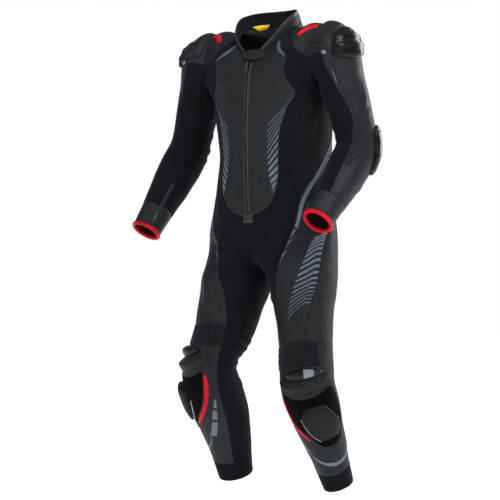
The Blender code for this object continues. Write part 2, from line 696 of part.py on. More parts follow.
def closed_between(name, top, bottom, faces, count, hand, material):
    """A closed solid between two layers of the same patch."""
    points = np.concatenate([top, bottom])
    shift = len(top)
    solid = []
    for face in faces:
        upper = list(face) if hand > 0 else list(face)[::-1]
        solid.append(upper)
        solid.append([corner + shift for corner in upper[::-1]])
    for k in range(count):
        ahead = (k + 1) % count
        side = [ahead, k, k + shift, ahead + shift]
        solid.append(side if hand > 0 else side[::-1])
    return make_object(name, points, solid, material)


def build_panel(side, name, kind, edge, material, ribs):
    """A wall on the surface, bounded by seams, with ribs across it if it has any."""
    chart = kind + "_" + side
    outline = edge_nodes(kind, edge)
    if signed_area(outline) < 0:
        outline = outline[::-1]
    us = multiples(NODE_STEP_U, *span(outline, 0))
    if ribs:
        low, high = span(outline, 1)
        half_ribs = 2 * RIBS[ribs]["count"]
        vs = [low + (high - low) * k / half_ribs for k in range(1, half_ribs)]
        crests = {round(v, 6) for v in vs[::2]}
        inner = inside_points(outline, us, vs, RIB_MARGIN)
    else:
        inner = inside_points(outline, us, rows(NODE_STEP_V, *span(outline, 1)), EDGE_MARGIN)
    places, normals, faces, count, hand = lay_out(chart, outline, inner, SEAM)
    top = places.copy()
    if ribs:
        for k, (_, v) in enumerate(inner):
            if round(v, 6) in crests:
                top[count + k] += normals[count + k] * RIBS[ribs]["height"]
    bottom = places - normals * WALL
    return closed_between(name + "_" + side, top, bottom, faces, count, hand, material)


def build_raised(side, name, spec):
    """A pad, cup or patch made from its panel's points, moved out."""
    kind, corners, clearance, rim, peak, material = spec
    outline = smooth_loop(corners)
    if signed_area(outline) < 0:
        outline = outline[::-1]
    us = multiples(0.5, *span(outline, 0))
    vs = multiples(0.25, *span(outline, 1))
    inner = inside_points(outline, us, vs, 0.10)
    places, normals, faces, count, hand = lay_out(kind + "_" + side, outline, inner, 0)
    depth = [max(edge_distance(outline, point), 0) for point in inner]
    deepest = max(depth, default=1)
    lift = np.full(len(places), rim)
    for k, value in enumerate(depth):
        lift[count + k] = rim + (peak - rim) * math.sin(math.pi / 2 * value / deepest) ** 0.7
    top = places + normals * (clearance + lift)[:, None]
    bottom = places + normals * clearance
    return closed_between(name + "_" + side, top, bottom, faces, count, hand, material)


def smooth_loop(corners):
    """A closed curve through the corners, with one more point between each two."""
    points = []
    count = len(corners)
    for k in range(count):
        a, b, c, d = (np.array(corners[(k + j) % count]) for j in (-1, 0, 1, 2))
        points.append(tuple(b))
        points.append(tuple((9 * (b + c) - a - d) / 16))
    return points


def build_strip(name, stations, half_width, clearance, height, material):
    """A flat strip along stations of place and normal."""
    points = []
    quads = []
    places = np.array([place for place, _ in stations])
    for k, (place, normal) in enumerate(stations):
        along = unit(places[min(k + 1, len(places) - 1)] - places[max(k - 1, 0)])
        across = np.cross(normal, along)
        for width, lift in ((-1, 0), (1, 0), (1, height), (-1, height)):
            points.append(place + across * width * half_width + normal * (clearance + lift))
    for k in range(len(stations) - 1):
        for corner in range(4):
            ahead = (corner + 1) % 4
            quads.append([4 * k + corner, 4 * k + ahead, 4 * k + 4 + ahead, 4 * k + 4 + corner])
    last = 4 * (len(stations) - 1)
    quads.append([3, 2, 1, 0])
    quads.append([last, last + 1, last + 2, last + 3])
    return make_object(name, points, quads, material)


def build_ring(side, name, kind, start, end, seam, material, swell=0.0, wall=WALL):
    """A closed band round a limb between two rows."""
    chart = kind + "_" + side
    round_ = LEG_COLUMNS if kind == "body" else ARM_COLUMNS
    table = seams_of(kind)[seam][1]
    nodes = node_values(table, "u", NODE_STEP_U, table[0][0], table[-1][0])[:-1]
    hand = -1 if side == "left" else 1
    points = []
    ends = []
    for v in (start, end):
        ends.append([SURFACE.at(chart, u % round_, v) for u in nodes])
    slack = SEAM / max(np.linalg.norm(ends[0][0][0] - ends[1][0][0]), 1e-6)
    count = len(nodes)
    for depth in (swell, swell - wall):
        for layer, other in ((0, 1), (1, 0)):
            for k in range(count):
                place, normal = ends[layer][k]
                toward = ends[other][k][0]
                points.append(place + (toward - place) * slack + normal * depth)
    quads = []
    layers = ((0, 1), (1, 3), (3, 2), (2, 0))
    for upper, lower in layers:
        for k in range(count):
            ahead = (k + 1) % count
            quad = [upper * count + k, upper * count + ahead,
                    lower * count + ahead, lower * count + k]
            quads.append(quad if hand > 0 else quad[::-1])
    return make_object(name + "_" + side, points, quads, material)


def build_sheet(name, outer, inner, material):
    """A closed wall between two grids of points, rows down and columns along."""
    rows = len(outer)
    columns = len(outer[0])
    count = rows * columns
    points = [point for layer in (outer, inner) for row in layer for point in row]
    quads = []
    for row in range(rows - 1):
        for column in range(columns - 1):
            a = row * columns + column
            quad = [a, a + columns, a + columns + 1, a + 1]
            quads.append(quad)
            quads.append([corner + count for corner in quad[::-1]])
    rim = [column for column in range(columns)]
    rim += [row * columns + columns - 1 for row in range(1, rows)]
    rim += [(rows - 1) * columns + column for column in range(columns - 2, -1, -1)]
    rim += [row * columns for row in range(rows - 2, 0, -1)]
    for k, corner in enumerate(rim):
        ahead = rim[(k + 1) % len(rim)]
        quads.append([corner, ahead, ahead + count, corner + count])
    return make_object(name, points, quads, material)


# ---------------------------------------------------------------- collar
def collar_point(sign, along, height):
    """A place on the collar's outer face, from its seam (0) to its top edge (1)."""
    column = along if along <= 2 else along + 6
    foot, _ = SURFACE.at("body_left" if sign > 0 else "body_right", column, 0)
    top = np.array([
        smooth_value([(row[0], row[axis]) for row in COLLAR_TOP], along) for axis in (1, 2, 3)])
    top[0] *= sign
    rise = top - foot
    start = SEAM / np.linalg.norm(rise)
    return foot + rise * (start + (1 - start) * height)


def collar_normal(sign, along, height):
    step = 0.02
    ahead = collar_point(sign, min(along + step, 4), height)
    behind = collar_point(sign, max(along - step, COLLAR_TOP[0][0]), height)
    rise = collar_point(sign, along, 1) - collar_point(sign, along, 0)
    return unit(sign * np.cross(rise, ahead - behind)) * -1


def collar_stations():
    """Side and place of each station, round the neck from the left end to the right."""
    start = COLLAR_TOP[0][0]
    share = [k / (COLLAR_STATIONS - 1) for k in range(COLLAR_STATIONS)]
    left = [(1, start + (4 - start) * s) for s in share]
    return left + [(-1, along) for _, along in left[-2::-1]]


def build_collar():
    outer = []
    inner = []
    for row in range(COLLAR_ROWS):
        height = 1 - row / (COLLAR_ROWS - 1)
        places = [collar_point(sign, along, height) for sign, along in collar_stations()]
        normals = [collar_normal(sign, along, height) for sign, along in collar_stations()]
        outer.append(places)
        inner.append([p - n * COLLAR_WALL for p, n in zip(places, normals)])
    build_sheet("collar", outer, inner, "stretch")


def build_collar_tab():
    """An oval that bridges the collar's ends, over the top of the zip."""
    rings = []
    for share in (1.0, 0.55, 0.0):
        ring = []
        for k in range(TAB["points"] if share else 1):
            angle = 2 * math.pi * k / TAB["points"]
            x = TAB["half_width"] * share * math.cos(angle)
            z = TAB["half_height"] * share * math.sin(angle)
            y = TAB["back_y"] + TAB["slope"] * z + TAB["curve"] * (x / TAB["half_width"]) ** 2
            ring.append(np.array((TAB["middle_x"] + x, y, TAB["middle_z"] + z)))
        rings.append(ring)
    back = [place for ring in rings for place in ring]
    front = [place - np.array((0, TAB["wall"], 0)) for place in back]
    count = TAB["points"]
    faces = []
    for k in range(count):
        ahead = (k + 1) % count
        faces.append([k, ahead, ahead + count, k + count])
        faces.append([k + count, ahead + count, 2 * count])
    shift = len(back)
    solid = list(faces)
    solid += [[corner + shift for corner in face[::-1]] for face in faces]
    for k in range(count):
        ahead = (k + 1) % count
        solid.append([ahead, k, k + shift, ahead + shift])
    make_object("collar_tab", front + back, solid, "leather")


# ---------------------------------------------------------------- zip slider and pull
def zip_frame():
    """The matrix of the slider's frame: X across, Y down the zip, Z out from it."""
    place, normal = SURFACE.at("body_left", 0, SLIDER["row"])
    ahead, _ = SURFACE.at("body_left", 0, SLIDER["row"] + 0.3)
    out = Vector((0, normal[1], normal[2])).normalized()
    down = Vector(ahead - place)
    down = (down - out * down.dot(out)).normalized()
    across = down.cross(out)
    matrix = Matrix.Identity(4)
    for axis, vector in enumerate((across, down, out)):
        for row in range(3):
            matrix[row][axis] = vector[row]
    lift = ZIP["clearance"] + ZIP["height"] + SLIDER["gap"]
    matrix.translation = Vector((0, place[1], place[2])) + out * lift
    return matrix


def add_shape(name, shape, matrix, material):
    mesh = bpy.data.meshes.new(name)
    shape.to_mesh(mesh)
    shape.free()
    mesh.transform(matrix)
    mesh.materials.append(make_material(name, COLOURS[material]))
    piece = bpy.data.objects.new(name, mesh)
    bpy.context.collection.objects.link(piece)
    return piece


def box(size, middle):
    shape = bmesh.new()
    scale = Matrix.Diagonal((*size, 1))
    bmesh.ops.create_cube(shape, size=1, matrix=Matrix.Translation(middle) @ scale)
    return shape


def rod(radius, length, middle):
    """A cylinder along the frame's X."""
    shape = bmesh.new()
    turn = Matrix.Rotation(math.pi / 2, 4, "Y")
    bmesh.ops.create_cone(
        shape, cap_ends=True, segments=16, radius1=radius, radius2=radius, depth=length,
        matrix=Matrix.Translation(middle) @ turn)
    return shape


def combine(piece, tool, operation):
    """A Boolean on a piece with a hidden tool."""
    tool.hide_render = True
    tool.display_type = "WIRE"
    cut = piece.modifiers.new(operation.lower(), "BOOLEAN")
    cut.operation = operation
    cut.object = tool


def build_slider():
    frame_matrix = zip_frame()
    width, length, height = SLIDER["width"], SLIDER["length"], SLIDER["height"]
    pin_z = height + PULL["eye"] + SLIDER["gap"]
    body = add_shape("zip_slider", box((width, length, height), (0, 0, height / 2)),
                     frame_matrix, "metal")
    for number, sign in enumerate((-1, 1)):
        middle = (sign * ((width - SLIDER["lug"]) / 2 - 0.0002), 0, pin_z / 2 + 0.0008)
        size = (SLIDER["lug"], SLIDER["lug_length"], pin_z + 0.0006)
        lug = add_shape(f"lug_{number}", box(size, middle), frame_matrix, "metal")
        combine(body, lug, "UNION")
    pin = add_shape("pin", rod(SLIDER["pin"], width - SLIDER["lug"], (0, 0, pin_z)),
                    frame_matrix, "metal")
    combine(body, pin, "UNION")

    plate_middle = (0, PULL["length"] / 2 + 0.0012, pin_z)
    pull = add_shape("zip_pull", box((PULL["width"], PULL["length"], PULL["wall"]), plate_middle),
                     frame_matrix, "metal")
    eye = add_shape("eye", rod(PULL["eye"], PULL["width"] - 0.0004, (0, 0, pin_z)),
                    frame_matrix, "metal")
    combine(pull, eye, "UNION")
    hole = add_shape("hole", rod(PULL["hole"], 2 * PULL["width"], (0, 0, pin_z)),
                     frame_matrix, "metal")
    combine(pull, hole, "DIFFERENCE")


# ---------------------------------------------------------------- build
COLOURS = {
    # red, green, blue, roughness, metallic
    "leather": (0.019, 0.022, 0.027, 0.5, 0.0),
    "stretch": (0.006, 0.007, 0.010, 0.8, 0.0),
    "pad": (0.018, 0.020, 0.025, 0.45, 0.0),
    "gloss": (0.006, 0.006, 0.007, 0.12, 0.0),
    "velcro": (0.003, 0.003, 0.004, 0.95, 0.0),
    "red": (0.75, 0.008, 0.03, 0.45, 0.0),
    "metal": (0.20, 0.20, 0.21, 0.35, 1.0),
    "label": (0.90, 0.60, 0.04, 0.7, 0.0),
}


def make_material(name, colour):
    material = bpy.data.materials.new(name)
    material.use_nodes = True
    shader = material.node_tree.nodes["Principled BSDF"]
    shader.inputs["Base Color"].default_value = (*colour[:3], 1)
    shader.inputs["Roughness"].default_value = colour[3]
    shader.inputs["Metallic"].default_value = colour[4]
    return material


def clear_scene():
    for item in list(bpy.data.objects):
        bpy.data.objects.remove(item)


def build_side(side):
    for name, (kind, edge, material, ribs) in PANELS.items():
        build_panel(side, name, kind, edge, material, ribs)
    for name, (kind, start, end, seam, material) in RINGS.items():
        build_ring(side, name, kind, start, end, seam, material)
    build_ring(side, "cuff_binding", "arm", *BINDING_ROWS, "wrist", "red", 0.0012, 0.0048)
    for name, spec in RAISED.items():
        build_raised(side, name, spec)
    stations = [SURFACE.at("body_" + side, u % LEG_COLUMNS, v) for u, v in PIPING_PATH]
    build_strip("piping_" + side, stations, PIPING["half_width"], PIPING["clearance"],
                PIPING["height"], "red")


def build_zip():
    values = [ZIP["top"]] + multiples(0.5, ZIP["top"] + 0.1, ZIP["bottom"] - 0.1) + [ZIP["bottom"]]
    stations = [SURFACE.at("body_left", 0, v) for v in values]
    build_strip("zip_main", stations, ZIP["half_width"], ZIP["clearance"], ZIP["height"], "stretch")


clear_scene()
SURFACE = Surface(SUBDIVISION)
for side_name, _ in SIDES:
    build_side(side_name)
build_zip()
build_collar()
build_collar_tab()
build_raised("right", "neck_label", LABEL)
build_slider()
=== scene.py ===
"""One-piece race suit: cut panels, trim, armour, print and stitching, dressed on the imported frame."""
import math

import bmesh
import bpy
import numpy as np
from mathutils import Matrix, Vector
from mathutils.geometry import delaunay_2d_cdt


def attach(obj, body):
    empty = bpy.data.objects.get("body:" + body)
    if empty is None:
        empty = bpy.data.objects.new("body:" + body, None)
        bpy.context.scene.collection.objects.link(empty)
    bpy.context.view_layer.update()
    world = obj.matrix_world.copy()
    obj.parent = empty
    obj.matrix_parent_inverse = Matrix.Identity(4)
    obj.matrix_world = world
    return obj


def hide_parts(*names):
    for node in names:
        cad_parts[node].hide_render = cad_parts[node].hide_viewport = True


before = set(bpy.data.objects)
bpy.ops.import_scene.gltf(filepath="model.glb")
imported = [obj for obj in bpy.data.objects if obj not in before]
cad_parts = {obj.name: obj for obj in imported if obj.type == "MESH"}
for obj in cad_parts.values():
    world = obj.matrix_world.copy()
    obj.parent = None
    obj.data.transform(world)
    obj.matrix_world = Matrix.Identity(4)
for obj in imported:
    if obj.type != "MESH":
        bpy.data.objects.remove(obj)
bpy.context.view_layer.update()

# ---------------------------------------------------------------- sizes, in metres
SUBDIVISION = 4          # surface samples for each cage cell are 2 to this power

BODY_COLUMNS = 10
LEG_COLUMNS = 14
ARM_COLUMNS = 10
ARMPIT_ROW = 4
CROTCH_ROW = 10
HEM_ROW = 20
WRIST_ROW = 9

# Angle round the torso of each body column, from the side seam, front negative.
COLUMN_ANGLES = (-90, -72, -55, -39, -24, 0, 24, 39, 55, 72, 90)
TORSO_SQUARENESS = 2.4   # exponent of the superellipse

# Neckline and shoulder seam, centre front to centre back: x, y, z.
TOP_FRONT = (
    (0.000, -0.112, -0.050),
    (0.062, -0.092, -0.012),
    (0.096, -0.036, 0.040),
    (0.150, -0.030, 0.050),
    (0.203, -0.027, 0.044),
)
TOP_BACK = (
    (0.072, 0.032, 0.066),
    (0.000, 0.050, 0.064),
)
# Rows above the armpit: centre front y and z, armhole front edge x, y, z.
CHEST_ROWS = (
    (1, -0.126, -0.078, 0.200, -0.075, 0.004),
    (2, -0.133, -0.106, 0.190, -0.102, -0.050),
    (3, -0.136, -0.135, 0.182, -0.100, -0.110),
)
# The same for the back: centre back y and z, armhole back edge x, y, z.
BACK_ROWS = (
    (1, 0.086, 0.018, 0.203, 0.032, 0.006),
    (2, 0.110, -0.042, 0.197, 0.064, -0.046),
    (3, 0.120, -0.104, 0.190, 0.068, -0.105),
)
CHEST_ROUNDNESS = 2.6
# Torso sections: row, z, middle x, half width, front y, back y.
TORSO_ROWS = (
    (4, -0.165, 0.000, 0.188, -0.138, 0.122),
    (5, -0.250, 0.002, 0.175, -0.142, 0.132),
    (6, -0.335, 0.002, 0.165, -0.141, 0.142),
    (7, -0.420, -0.002, 0.176, -0.138, 0.144),
    (8, -0.495, -0.006, 0.190, -0.132, 0.136),
    (9, -0.555, -0.009, 0.204, -0.127, 0.130),
    (10, -0.605, -0.010, 0.210, -0.120, 0.124),
)
# The seam between the legs, back to front: y, z.
CROTCH_X = -0.004
CROTCH_CURVE = (
    (0.108, -0.640),
    (0.025, -0.665),
    (-0.058, -0.651),
)
# Leg sections: row, share of the way from hip to hem, width, depth, shift to the front.
LEG_ROWS = (
    (11, 0.135, 0.192, 0.236, 0.000),
    (12, 0.225, 0.174, 0.208, 0.000),
    (13, 0.325, 0.158, 0.190, -0.004),
    (14, 0.430, 0.154, 0.169, -0.006),
    (15, 0.500, 0.156, 0.158, 0.002),
    (16, 0.565, 0.156, 0.158, 0.014),
    (17, 0.640, 0.150, 0.166, 0.016),
    (18, 0.755, 0.131, 0.162, 0.005),
    (19, 0.880, 0.106, 0.130, 0.000),
    (20, 1.000, 0.090, 0.106, 0.000),
)
KNEE_SHARE = 0.547       # the share of the way at which the knee bends
LEG_FIRST_ANGLE = -38.6  # column 0 from the knee's facing direction
# Arm sections: row, distance from the shoulder point, half width, half depth.
ARM_ROWS = (
    (1, 0.010, 0.080, 0.086),
    (2, 0.080, 0.068, 0.074),
    (3, 0.150, 0.063, 0.067),
    (4, 0.215, 0.059, 0.062),
    (5, 0.272, 0.060, 0.063),
    (6, 0.330, 0.062, 0.064),
    (7, 0.408, 0.057, 0.059),
    (8, 0.494, 0.048, 0.049),
    (9, 0.574, 0.042, 0.043),
)
# How a limb rounds its bend: length turned over, half length pulled inside it, and how far.
BEND = {"length": 0.16, "pulled": 0.08, "pull": 0.010}
# Joints of each limb, x outward positive, and how far the knee faces outward.
POSE = {
    "left": {
        "hip": (0.098, 0.000, -0.607),
        "knee": (0.181, -0.089, -0.982),
        "hem": (0.211, 0.026, -1.285),
        "facing": 25,
        "shoulder": (0.240, -0.035, -0.047),
        "elbow": (0.275, 0.044, -0.314),
        "wrist": (0.264, -0.143, -0.518),
    },
    "right": {
        "hip": (0.106, 0.004, -0.612),
        "knee": (0.104, -0.165, -0.926),
        "hem": (0.135, -0.016, -1.276),
        "facing": 33,
        "shoulder": (0.231, -0.035, -0.047),
        "elbow": (0.320, -0.010, -0.303),
        "wrist": (0.356, -0.177, -0.554),
    },
}
SIDES = (("left", 1), ("right", -1))
CHARTS = ("body_left", "body_right", "arm_left", "arm_right")
CHART_SHIFT = 32         # the charts lie this far apart in the cage's UV map

GRID = 0.0065            # inner points of a panel
EDGE_SPACING = 0.005
EDGE_RINGS = (0.0016, 0.0038, 0.0072)
CLOTH_WALL = 0.0021
BAND_GRID = (0.005, 0.003)    # points round and along a cuff or hem band
BAND_END = 0.0005        # how far a band's ends turn in
SLOPE_STEP = 0.02        # of a chart, to measure its slopes
RIB_ROWS = 6             # rows of points on each accordion rib
RIB_SPACING = 0.005      # between points along a rib
KNEE_RIBS = 11
KNEE_RIB_HEIGHT = 0.0032
# Height over the plain surface, by distance from the seam.
ROLL = {
    "leather": ((0, 0.0016, 0.0038, 0.0072, 0.012), (-0.0019, -0.0003, 0.0004, 0.0001, 0)),
    "stretch": ((0, 0.0016, 0.0038, 0.0072, 0.012), (-0.0013, -0.0006, -0.0001, 0, 0)),
}
SLACK = {"leather": 0.0005, "stretch": 0.0008, "ribbed": 0.0005}
CLOTH_LOOK = {"leather": "hide", "stretch": "knit", "ribbed": "ribbed_fine"}
LOOK = {"knee_stretch": "accordion", "front_shield": "hide_holed", "side_panel": "ribbed",
        "sleeve_outer": "hide_sleeve", "forearm_outer": "hide_sleeve"}
CUFF_ZIP_COLUMN = 1.0    # where the wrist zip opens the cuff
HEM_START = 19.4
CUFF_START = 8
CUFF_END = 8.85          # the cuff's row beside its red roll
CUFF_ROLL = {"row": 8.93, "thick": 0.0052, "long": 0.0062, "sides": 14}
PATCHES = {}


# ---------------------------------------------------------------- sections
def unit(vector):
    return vector / np.linalg.norm(vector)


def units(vectors):
    """Rows scaled to length 1."""
    return vectors / np.linalg.norm(vectors, axis=1, keepdims=True)


def torso_point(angle, half_width, front, back):
    """A point of a torso section, at an angle from its side."""
    power = 2 / TORSO_SQUARENESS
    middle = (front + back) / 2
    depth = (back - front) / 2
    sine = math.sin(math.radians(angle))
    across = half_width * abs(math.cos(math.radians(angle))) ** power
    return across, middle + math.copysign(depth * abs(sine) ** power, sine)


def body_points(sign):
    """The cage points of one half of the torso, by (column, row)."""
    points = {}
    for column, (x, y, z) in enumerate(TOP_FRONT):
        points[column, 0] = (sign * x, y, z)
    for column, (x, y, z) in zip((9, 10), TOP_BACK):
        points[column, 0] = (sign * x, y, z)
    for rows, columns in ((CHEST_ROWS, (0, 1, 2, 3, 4)), (BACK_ROWS, (10, 9, 8, 7, 6))):
        for row, y, z, edge_x, edge_y, edge_z in rows:
            for step, column in enumerate(columns):
                share = step / 4
                bend = share ** CHEST_ROUNDNESS
                points[column, row] = (
                    sign * edge_x * share,
                    y + (edge_y - y) * bend,
                    z + (edge_z - z) * share,
                )
    for row, z, middle, half_width, front, back in TORSO_ROWS:
        for column, angle in enumerate(COLUMN_ANGLES):
            x, y = torso_point(angle, half_width, front, back)
            points[column, row] = (middle + sign * x, y, z)
    for column, (y, z) in zip((11, 12, 13), CROTCH_CURVE):
        points[column, CROTCH_ROW] = (CROTCH_X, y, z)
    return points


def limb_point(joints, share):
    """A point and a direction on a limb of two straight halves, rounded at the bend."""
    first, middle, last = (np.array(joint) for joint in joints)
    upper = np.linalg.norm(middle - first)
    lower = np.linalg.norm(last - middle)
    reach = share * (upper + lower) - upper
    blend = min(max(0.5 + reach / BEND["length"], 0), 1)
    direction = unit(unit(middle - first) * (1 - blend) + unit(last - middle) * blend)
    if reach < 0:
        place = middle + unit(middle - first) * reach
    else:
        place = middle + unit(last - middle) * reach
    pull = max(0, 1 - abs(reach) / BEND["pulled"]) * BEND["pull"]
    inside = unit(last - middle) - unit(middle - first)
    return place + pull * inside, direction


def leg_points(side, sign):
    """The cage points of a leg below the crotch, by (column, row)."""
    pose = POSE[side]
    mirror = np.array((sign, 1, 1))
    joints = [mirror * pose[name] for name in ("hip", "knee", "hem")]
    points = {}
    lengths = [np.linalg.norm(joints[1] - joints[0]), np.linalg.norm(joints[2] - joints[1])]
    for row, share, width, depth, shift in LEG_ROWS:
        above = min(share / KNEE_SHARE, 1) * lengths[0]
        below = max((share - KNEE_SHARE) / (1 - KNEE_SHARE), 0) * lengths[1]
        centre, direction = limb_point(joints, (above + below) / sum(lengths))
        level = min(share / 0.5, 1)
        direction = unit(direction * level + np.array((0, 0, -1)) * (1 - level))
        facing = math.radians(pose["facing"]) * min(share / 0.45, 1)
        front = np.array((sign * math.sin(facing), -math.cos(facing), 0))
        front = unit(front - direction * front.dot(direction))
        outward = sign * np.cross(front, direction)
        for column in range(LEG_COLUMNS):
            angle = math.radians(LEG_FIRST_ANGLE + column * 360 / LEG_COLUMNS)
            offset = front * (math.cos(angle) * depth / 2 + shift)
            offset = offset + outward * math.sin(angle) * width / 2
            points[column, row] = centre + offset
    return points


def arm_points(side, sign):
    """The cage points of an arm past the armhole, by (column, row)."""
    pose = POSE[side]
    mirror = np.array((sign, 1, 1))
    joints = [mirror * pose[name] for name in ("shoulder", "elbow", "wrist")]
    length = np.linalg.norm(joints[1] - joints[0]) + np.linalg.norm(joints[2] - joints[1])
    points = {}
    for row, distance, half_width, half_depth in ARM_ROWS:
        centre, direction = limb_point(joints, distance / length)
        level = min(distance / 0.15, 1)
        direction = unit(direction * level + np.array((sign * 0.9, 0, -0.6)) * (1 - level))
        inward = np.array((-sign, 0, 0), dtype=float)
        inward = unit(inward - direction * inward.dot(direction))
        front = sign * np.cross(inward, direction)
        for column in range(ARM_COLUMNS):
            angle = math.radians(column * 360 / ARM_COLUMNS)
            offset = inward * math.cos(angle) * half_width
            offset = offset + front * math.sin(angle) * half_depth
            points[column, row] = centre + offset
    return points


# ---------------------------------------------------------------- cage and its limit surface
def armhole_column(column):
    """The body cage point that an arm's column starts from."""
    if column == 0:
        return 5, ARMPIT_ROW
    if column <= 5:
        return 4, 5 - column
    return 6, column - 5


def shared_name(side, column, row):
    """One name for each body cage point, however many charts meet there."""
    if row == 0 and 6 <= column <= 8:
        column = 10 - column
    middle = column in (0, 10) and row <= CROTCH_ROW
    middle = middle or (column > 10 and row == CROTCH_ROW)
    return ("middle" if middle else side, "body", column, row)


def cell_corners(column, row):
    """The chart addresses round one quad of the cage."""
    return (column, row), (column, row + 1), (column + 1, row + 1), (column + 1, row)


def build_cage():
    """Names and places of the cage points, and its quads with their chart addresses."""
    places = {}
    quads = []
    for number, (side, sign) in enumerate(SIDES):
        body = body_points(sign)
        body.update(leg_points(side, sign))
        for (column, row), place in body.items():
            places[shared_name(side, column, row)] = np.array(place, dtype=float)
        for (column, row), place in arm_points(side, sign).items():
            places[side, "arm", column, row] = np.array(place, dtype=float)

        for row in range(HEM_ROW):
            columns = range(LEG_COLUMNS if row >= CROTCH_ROW else BODY_COLUMNS)
            for column in columns:
                if row < ARMPIT_ROW and column in (4, 5):
                    continue
                corners = cell_corners(column, row)
                names = [shared_name(side, c % LEG_COLUMNS, r) for c, r in corners]
                quads.append((number, sign, names, corners))
        for row in range(WRIST_ROW):
            for column in range(ARM_COLUMNS):
                corners = cell_corners(column, row)
                names = []
                for c, r in corners:
                    c = c % ARM_COLUMNS
                    if r == 0:
                        names.append(shared_name(side, *armhole_column(c)))
                    else:
                        names.append((side, "arm", c, r))
                quads.append((2 + number, sign, names, corners))
    return places, quads


def read_all(data, key, width, kind=np.float32):
    """One value of every element of some mesh data, as rows of that width."""
    values = np.empty(len(data) * width, dtype=kind)
    data.foreach_get(key, values)
    return values.reshape(-1, width)


def limit_surface(places, quads, subdivision):
    """Positions and normals of the limit surface, an array for each chart."""
    step = 2 ** subdivision
    index = {name: number for number, name in enumerate(places)}
    faces = []
    addresses = []
    for chart, sign, names, corners in quads:
        order = (0, 1, 2, 3) if sign > 0 else (3, 2, 1, 0)
        faces.append([index[names[k]] for k in order])
        addresses.extend((CHART_SHIFT * chart + corners[k][0], corners[k][1]) for k in order)
    mesh = bpy.data.meshes.new("cage")
    mesh.from_pydata([tuple(place) for place in places.values()], [], faces)
    layer = mesh.uv_layers.new(name="chart")
    layer.data.foreach_set("uv", np.array(addresses, dtype=np.float32).ravel())
    cage = bpy.data.objects.new("cage", mesh)
    bpy.context.collection.objects.link(cage)
    smooth = cage.modifiers.new("limit", "SUBSURF")
    smooth.levels = subdivision
    smooth.render_levels = subdivision
    smooth.uv_smooth = "NONE"
    smooth.use_limit_surface = True
    fine = cage.evaluated_get(bpy.context.evaluated_depsgraph_get()).data

    vertex = read_all(fine.loops, "vertex_index", 1, np.int32)[:, 0]
    uv = read_all(fine.uv_layers[0].data, "uv", 2)
    position = read_all(fine.vertices, "co", 3)
    normal = read_all(fine.vertex_normals, "vector", 3)

    chart = np.floor((uv[:, 0] + 0.01) / CHART_SHIFT).astype(int)
    column = np.rint((uv[:, 0] - chart * CHART_SHIFT) * step).astype(int)
    row = np.rint(uv[:, 1] * step).astype(int)
    surface = {}
    for number, name in enumerate(CHARTS):
        mine = chart == number
        shape = (HEM_ROW * step + 1, LEG_COLUMNS * step + 1, 3)
        places_grid = np.full(shape, np.nan)
        normals_grid = np.full(shape, np.nan)
        places_grid[row[mine], column[mine]] = position[vertex[mine]]
        normals_grid[row[mine], column[mine]] = normal[vertex[mine]]
        surface[name] = (places_grid, normals_grid)
    bpy.data.objects.remove(cage)
    return surface


def fitted_surface(subdivision):
    """The limit surface of a cage moved so that the surface meets the section tables."""
    targets, quads = build_cage()
    places = {name: place.copy() for name, place in targets.items()}
    address = {}
    for chart, _, names, corners in quads:
        for name, corner in zip(names, corners):
            address.setdefault(name, (CHARTS[chart], corner))
    for _ in range(4):
        coarse = limit_surface(places, quads, 1)
        for name, (chart, (column, row)) in address.items():
            places[name] += targets[name] - coarse[chart][0][row * 2, column * 2]
    return limit_surface(places, quads, subdivision)


class Surface:
    """Points and normals of the garment at chart addresses."""

    def __init__(self, subdivision):
        self.step = 2 ** subdivision
        self.charts = fitted_surface(subdivision)

    def sample(self, chart, uv):
        """Positions and outward normals at many addresses, NaN off the chart."""
        uv = np.asarray(uv, dtype=float).reshape(-1, 2)
        u, v = uv[:, 0], uv[:, 1]
        if chart.startswith("arm"):
            u = u % ARM_COLUMNS
        else:
            u = np.where(v > CROTCH_ROW - 1e-6, u % LEG_COLUMNS, u)
        places, normals = self.charts[chart]
        row = v * self.step
        column = u * self.step
        top = np.clip((row + 1e-6).astype(int), 0, places.shape[0] - 2)
        left = np.clip((column + 1e-6).astype(int), 0, places.shape[1] - 2)
        down = row - top
        across = column - left
        place = np.zeros((len(uv), 3))
        normal = np.zeros((len(uv), 3))
        for r, share_r in ((top, 1 - down), (top + 1, down)):
            for c, share_c in ((left, 1 - across), (left + 1, across)):
                weight = (share_r * share_c)[:, None]
                place += np.where(np.abs(weight) > 1e-6, weight * places[r, c], 0)
                normal += np.where(np.abs(weight) > 1e-6, weight * normals[r, c], 0)
        return place, units(normal)

    def slopes(self, chart, uv):
        """How far the surface moves for one step of u and of v, at many addresses."""
        uv = np.asarray(uv, dtype=float).reshape(-1, 2)
        here, _ = self.sample(chart, uv)
        found = []
        for step in ((SLOPE_STEP, 0), (0, SLOPE_STEP)):
            ahead, _ = self.sample(chart, uv + step)
            behind, _ = self.sample(chart, uv - step)
            ahead = np.where(np.isnan(ahead), here, ahead)
            behind = np.where(np.isnan(behind), here, behind)
            whole = np.isclose(ahead, here).all(axis=1) | np.isclose(behind, here).all(axis=1)
            found.append((ahead - behind) / (SLOPE_STEP * np.where(whole, 1, 2))[:, None])
        return found

    def moved(self, chart, uv, shift):
        """The addresses that lie a 3-D shift away along the surface."""
        along_u, along_v = self.slopes(chart, uv)
        uu = (along_u * along_u).sum(1)
        vv = (along_v * along_v).sum(1)
        cross = (along_u * along_v).sum(1)
        a = (along_u * shift).sum(1)
        b = (along_v * shift).sum(1)
        size = uu * vv - cross * cross
        return np.asarray(uv) + np.stack([a * vv - b * cross, b * uu - a * cross], 1) / size[:, None]


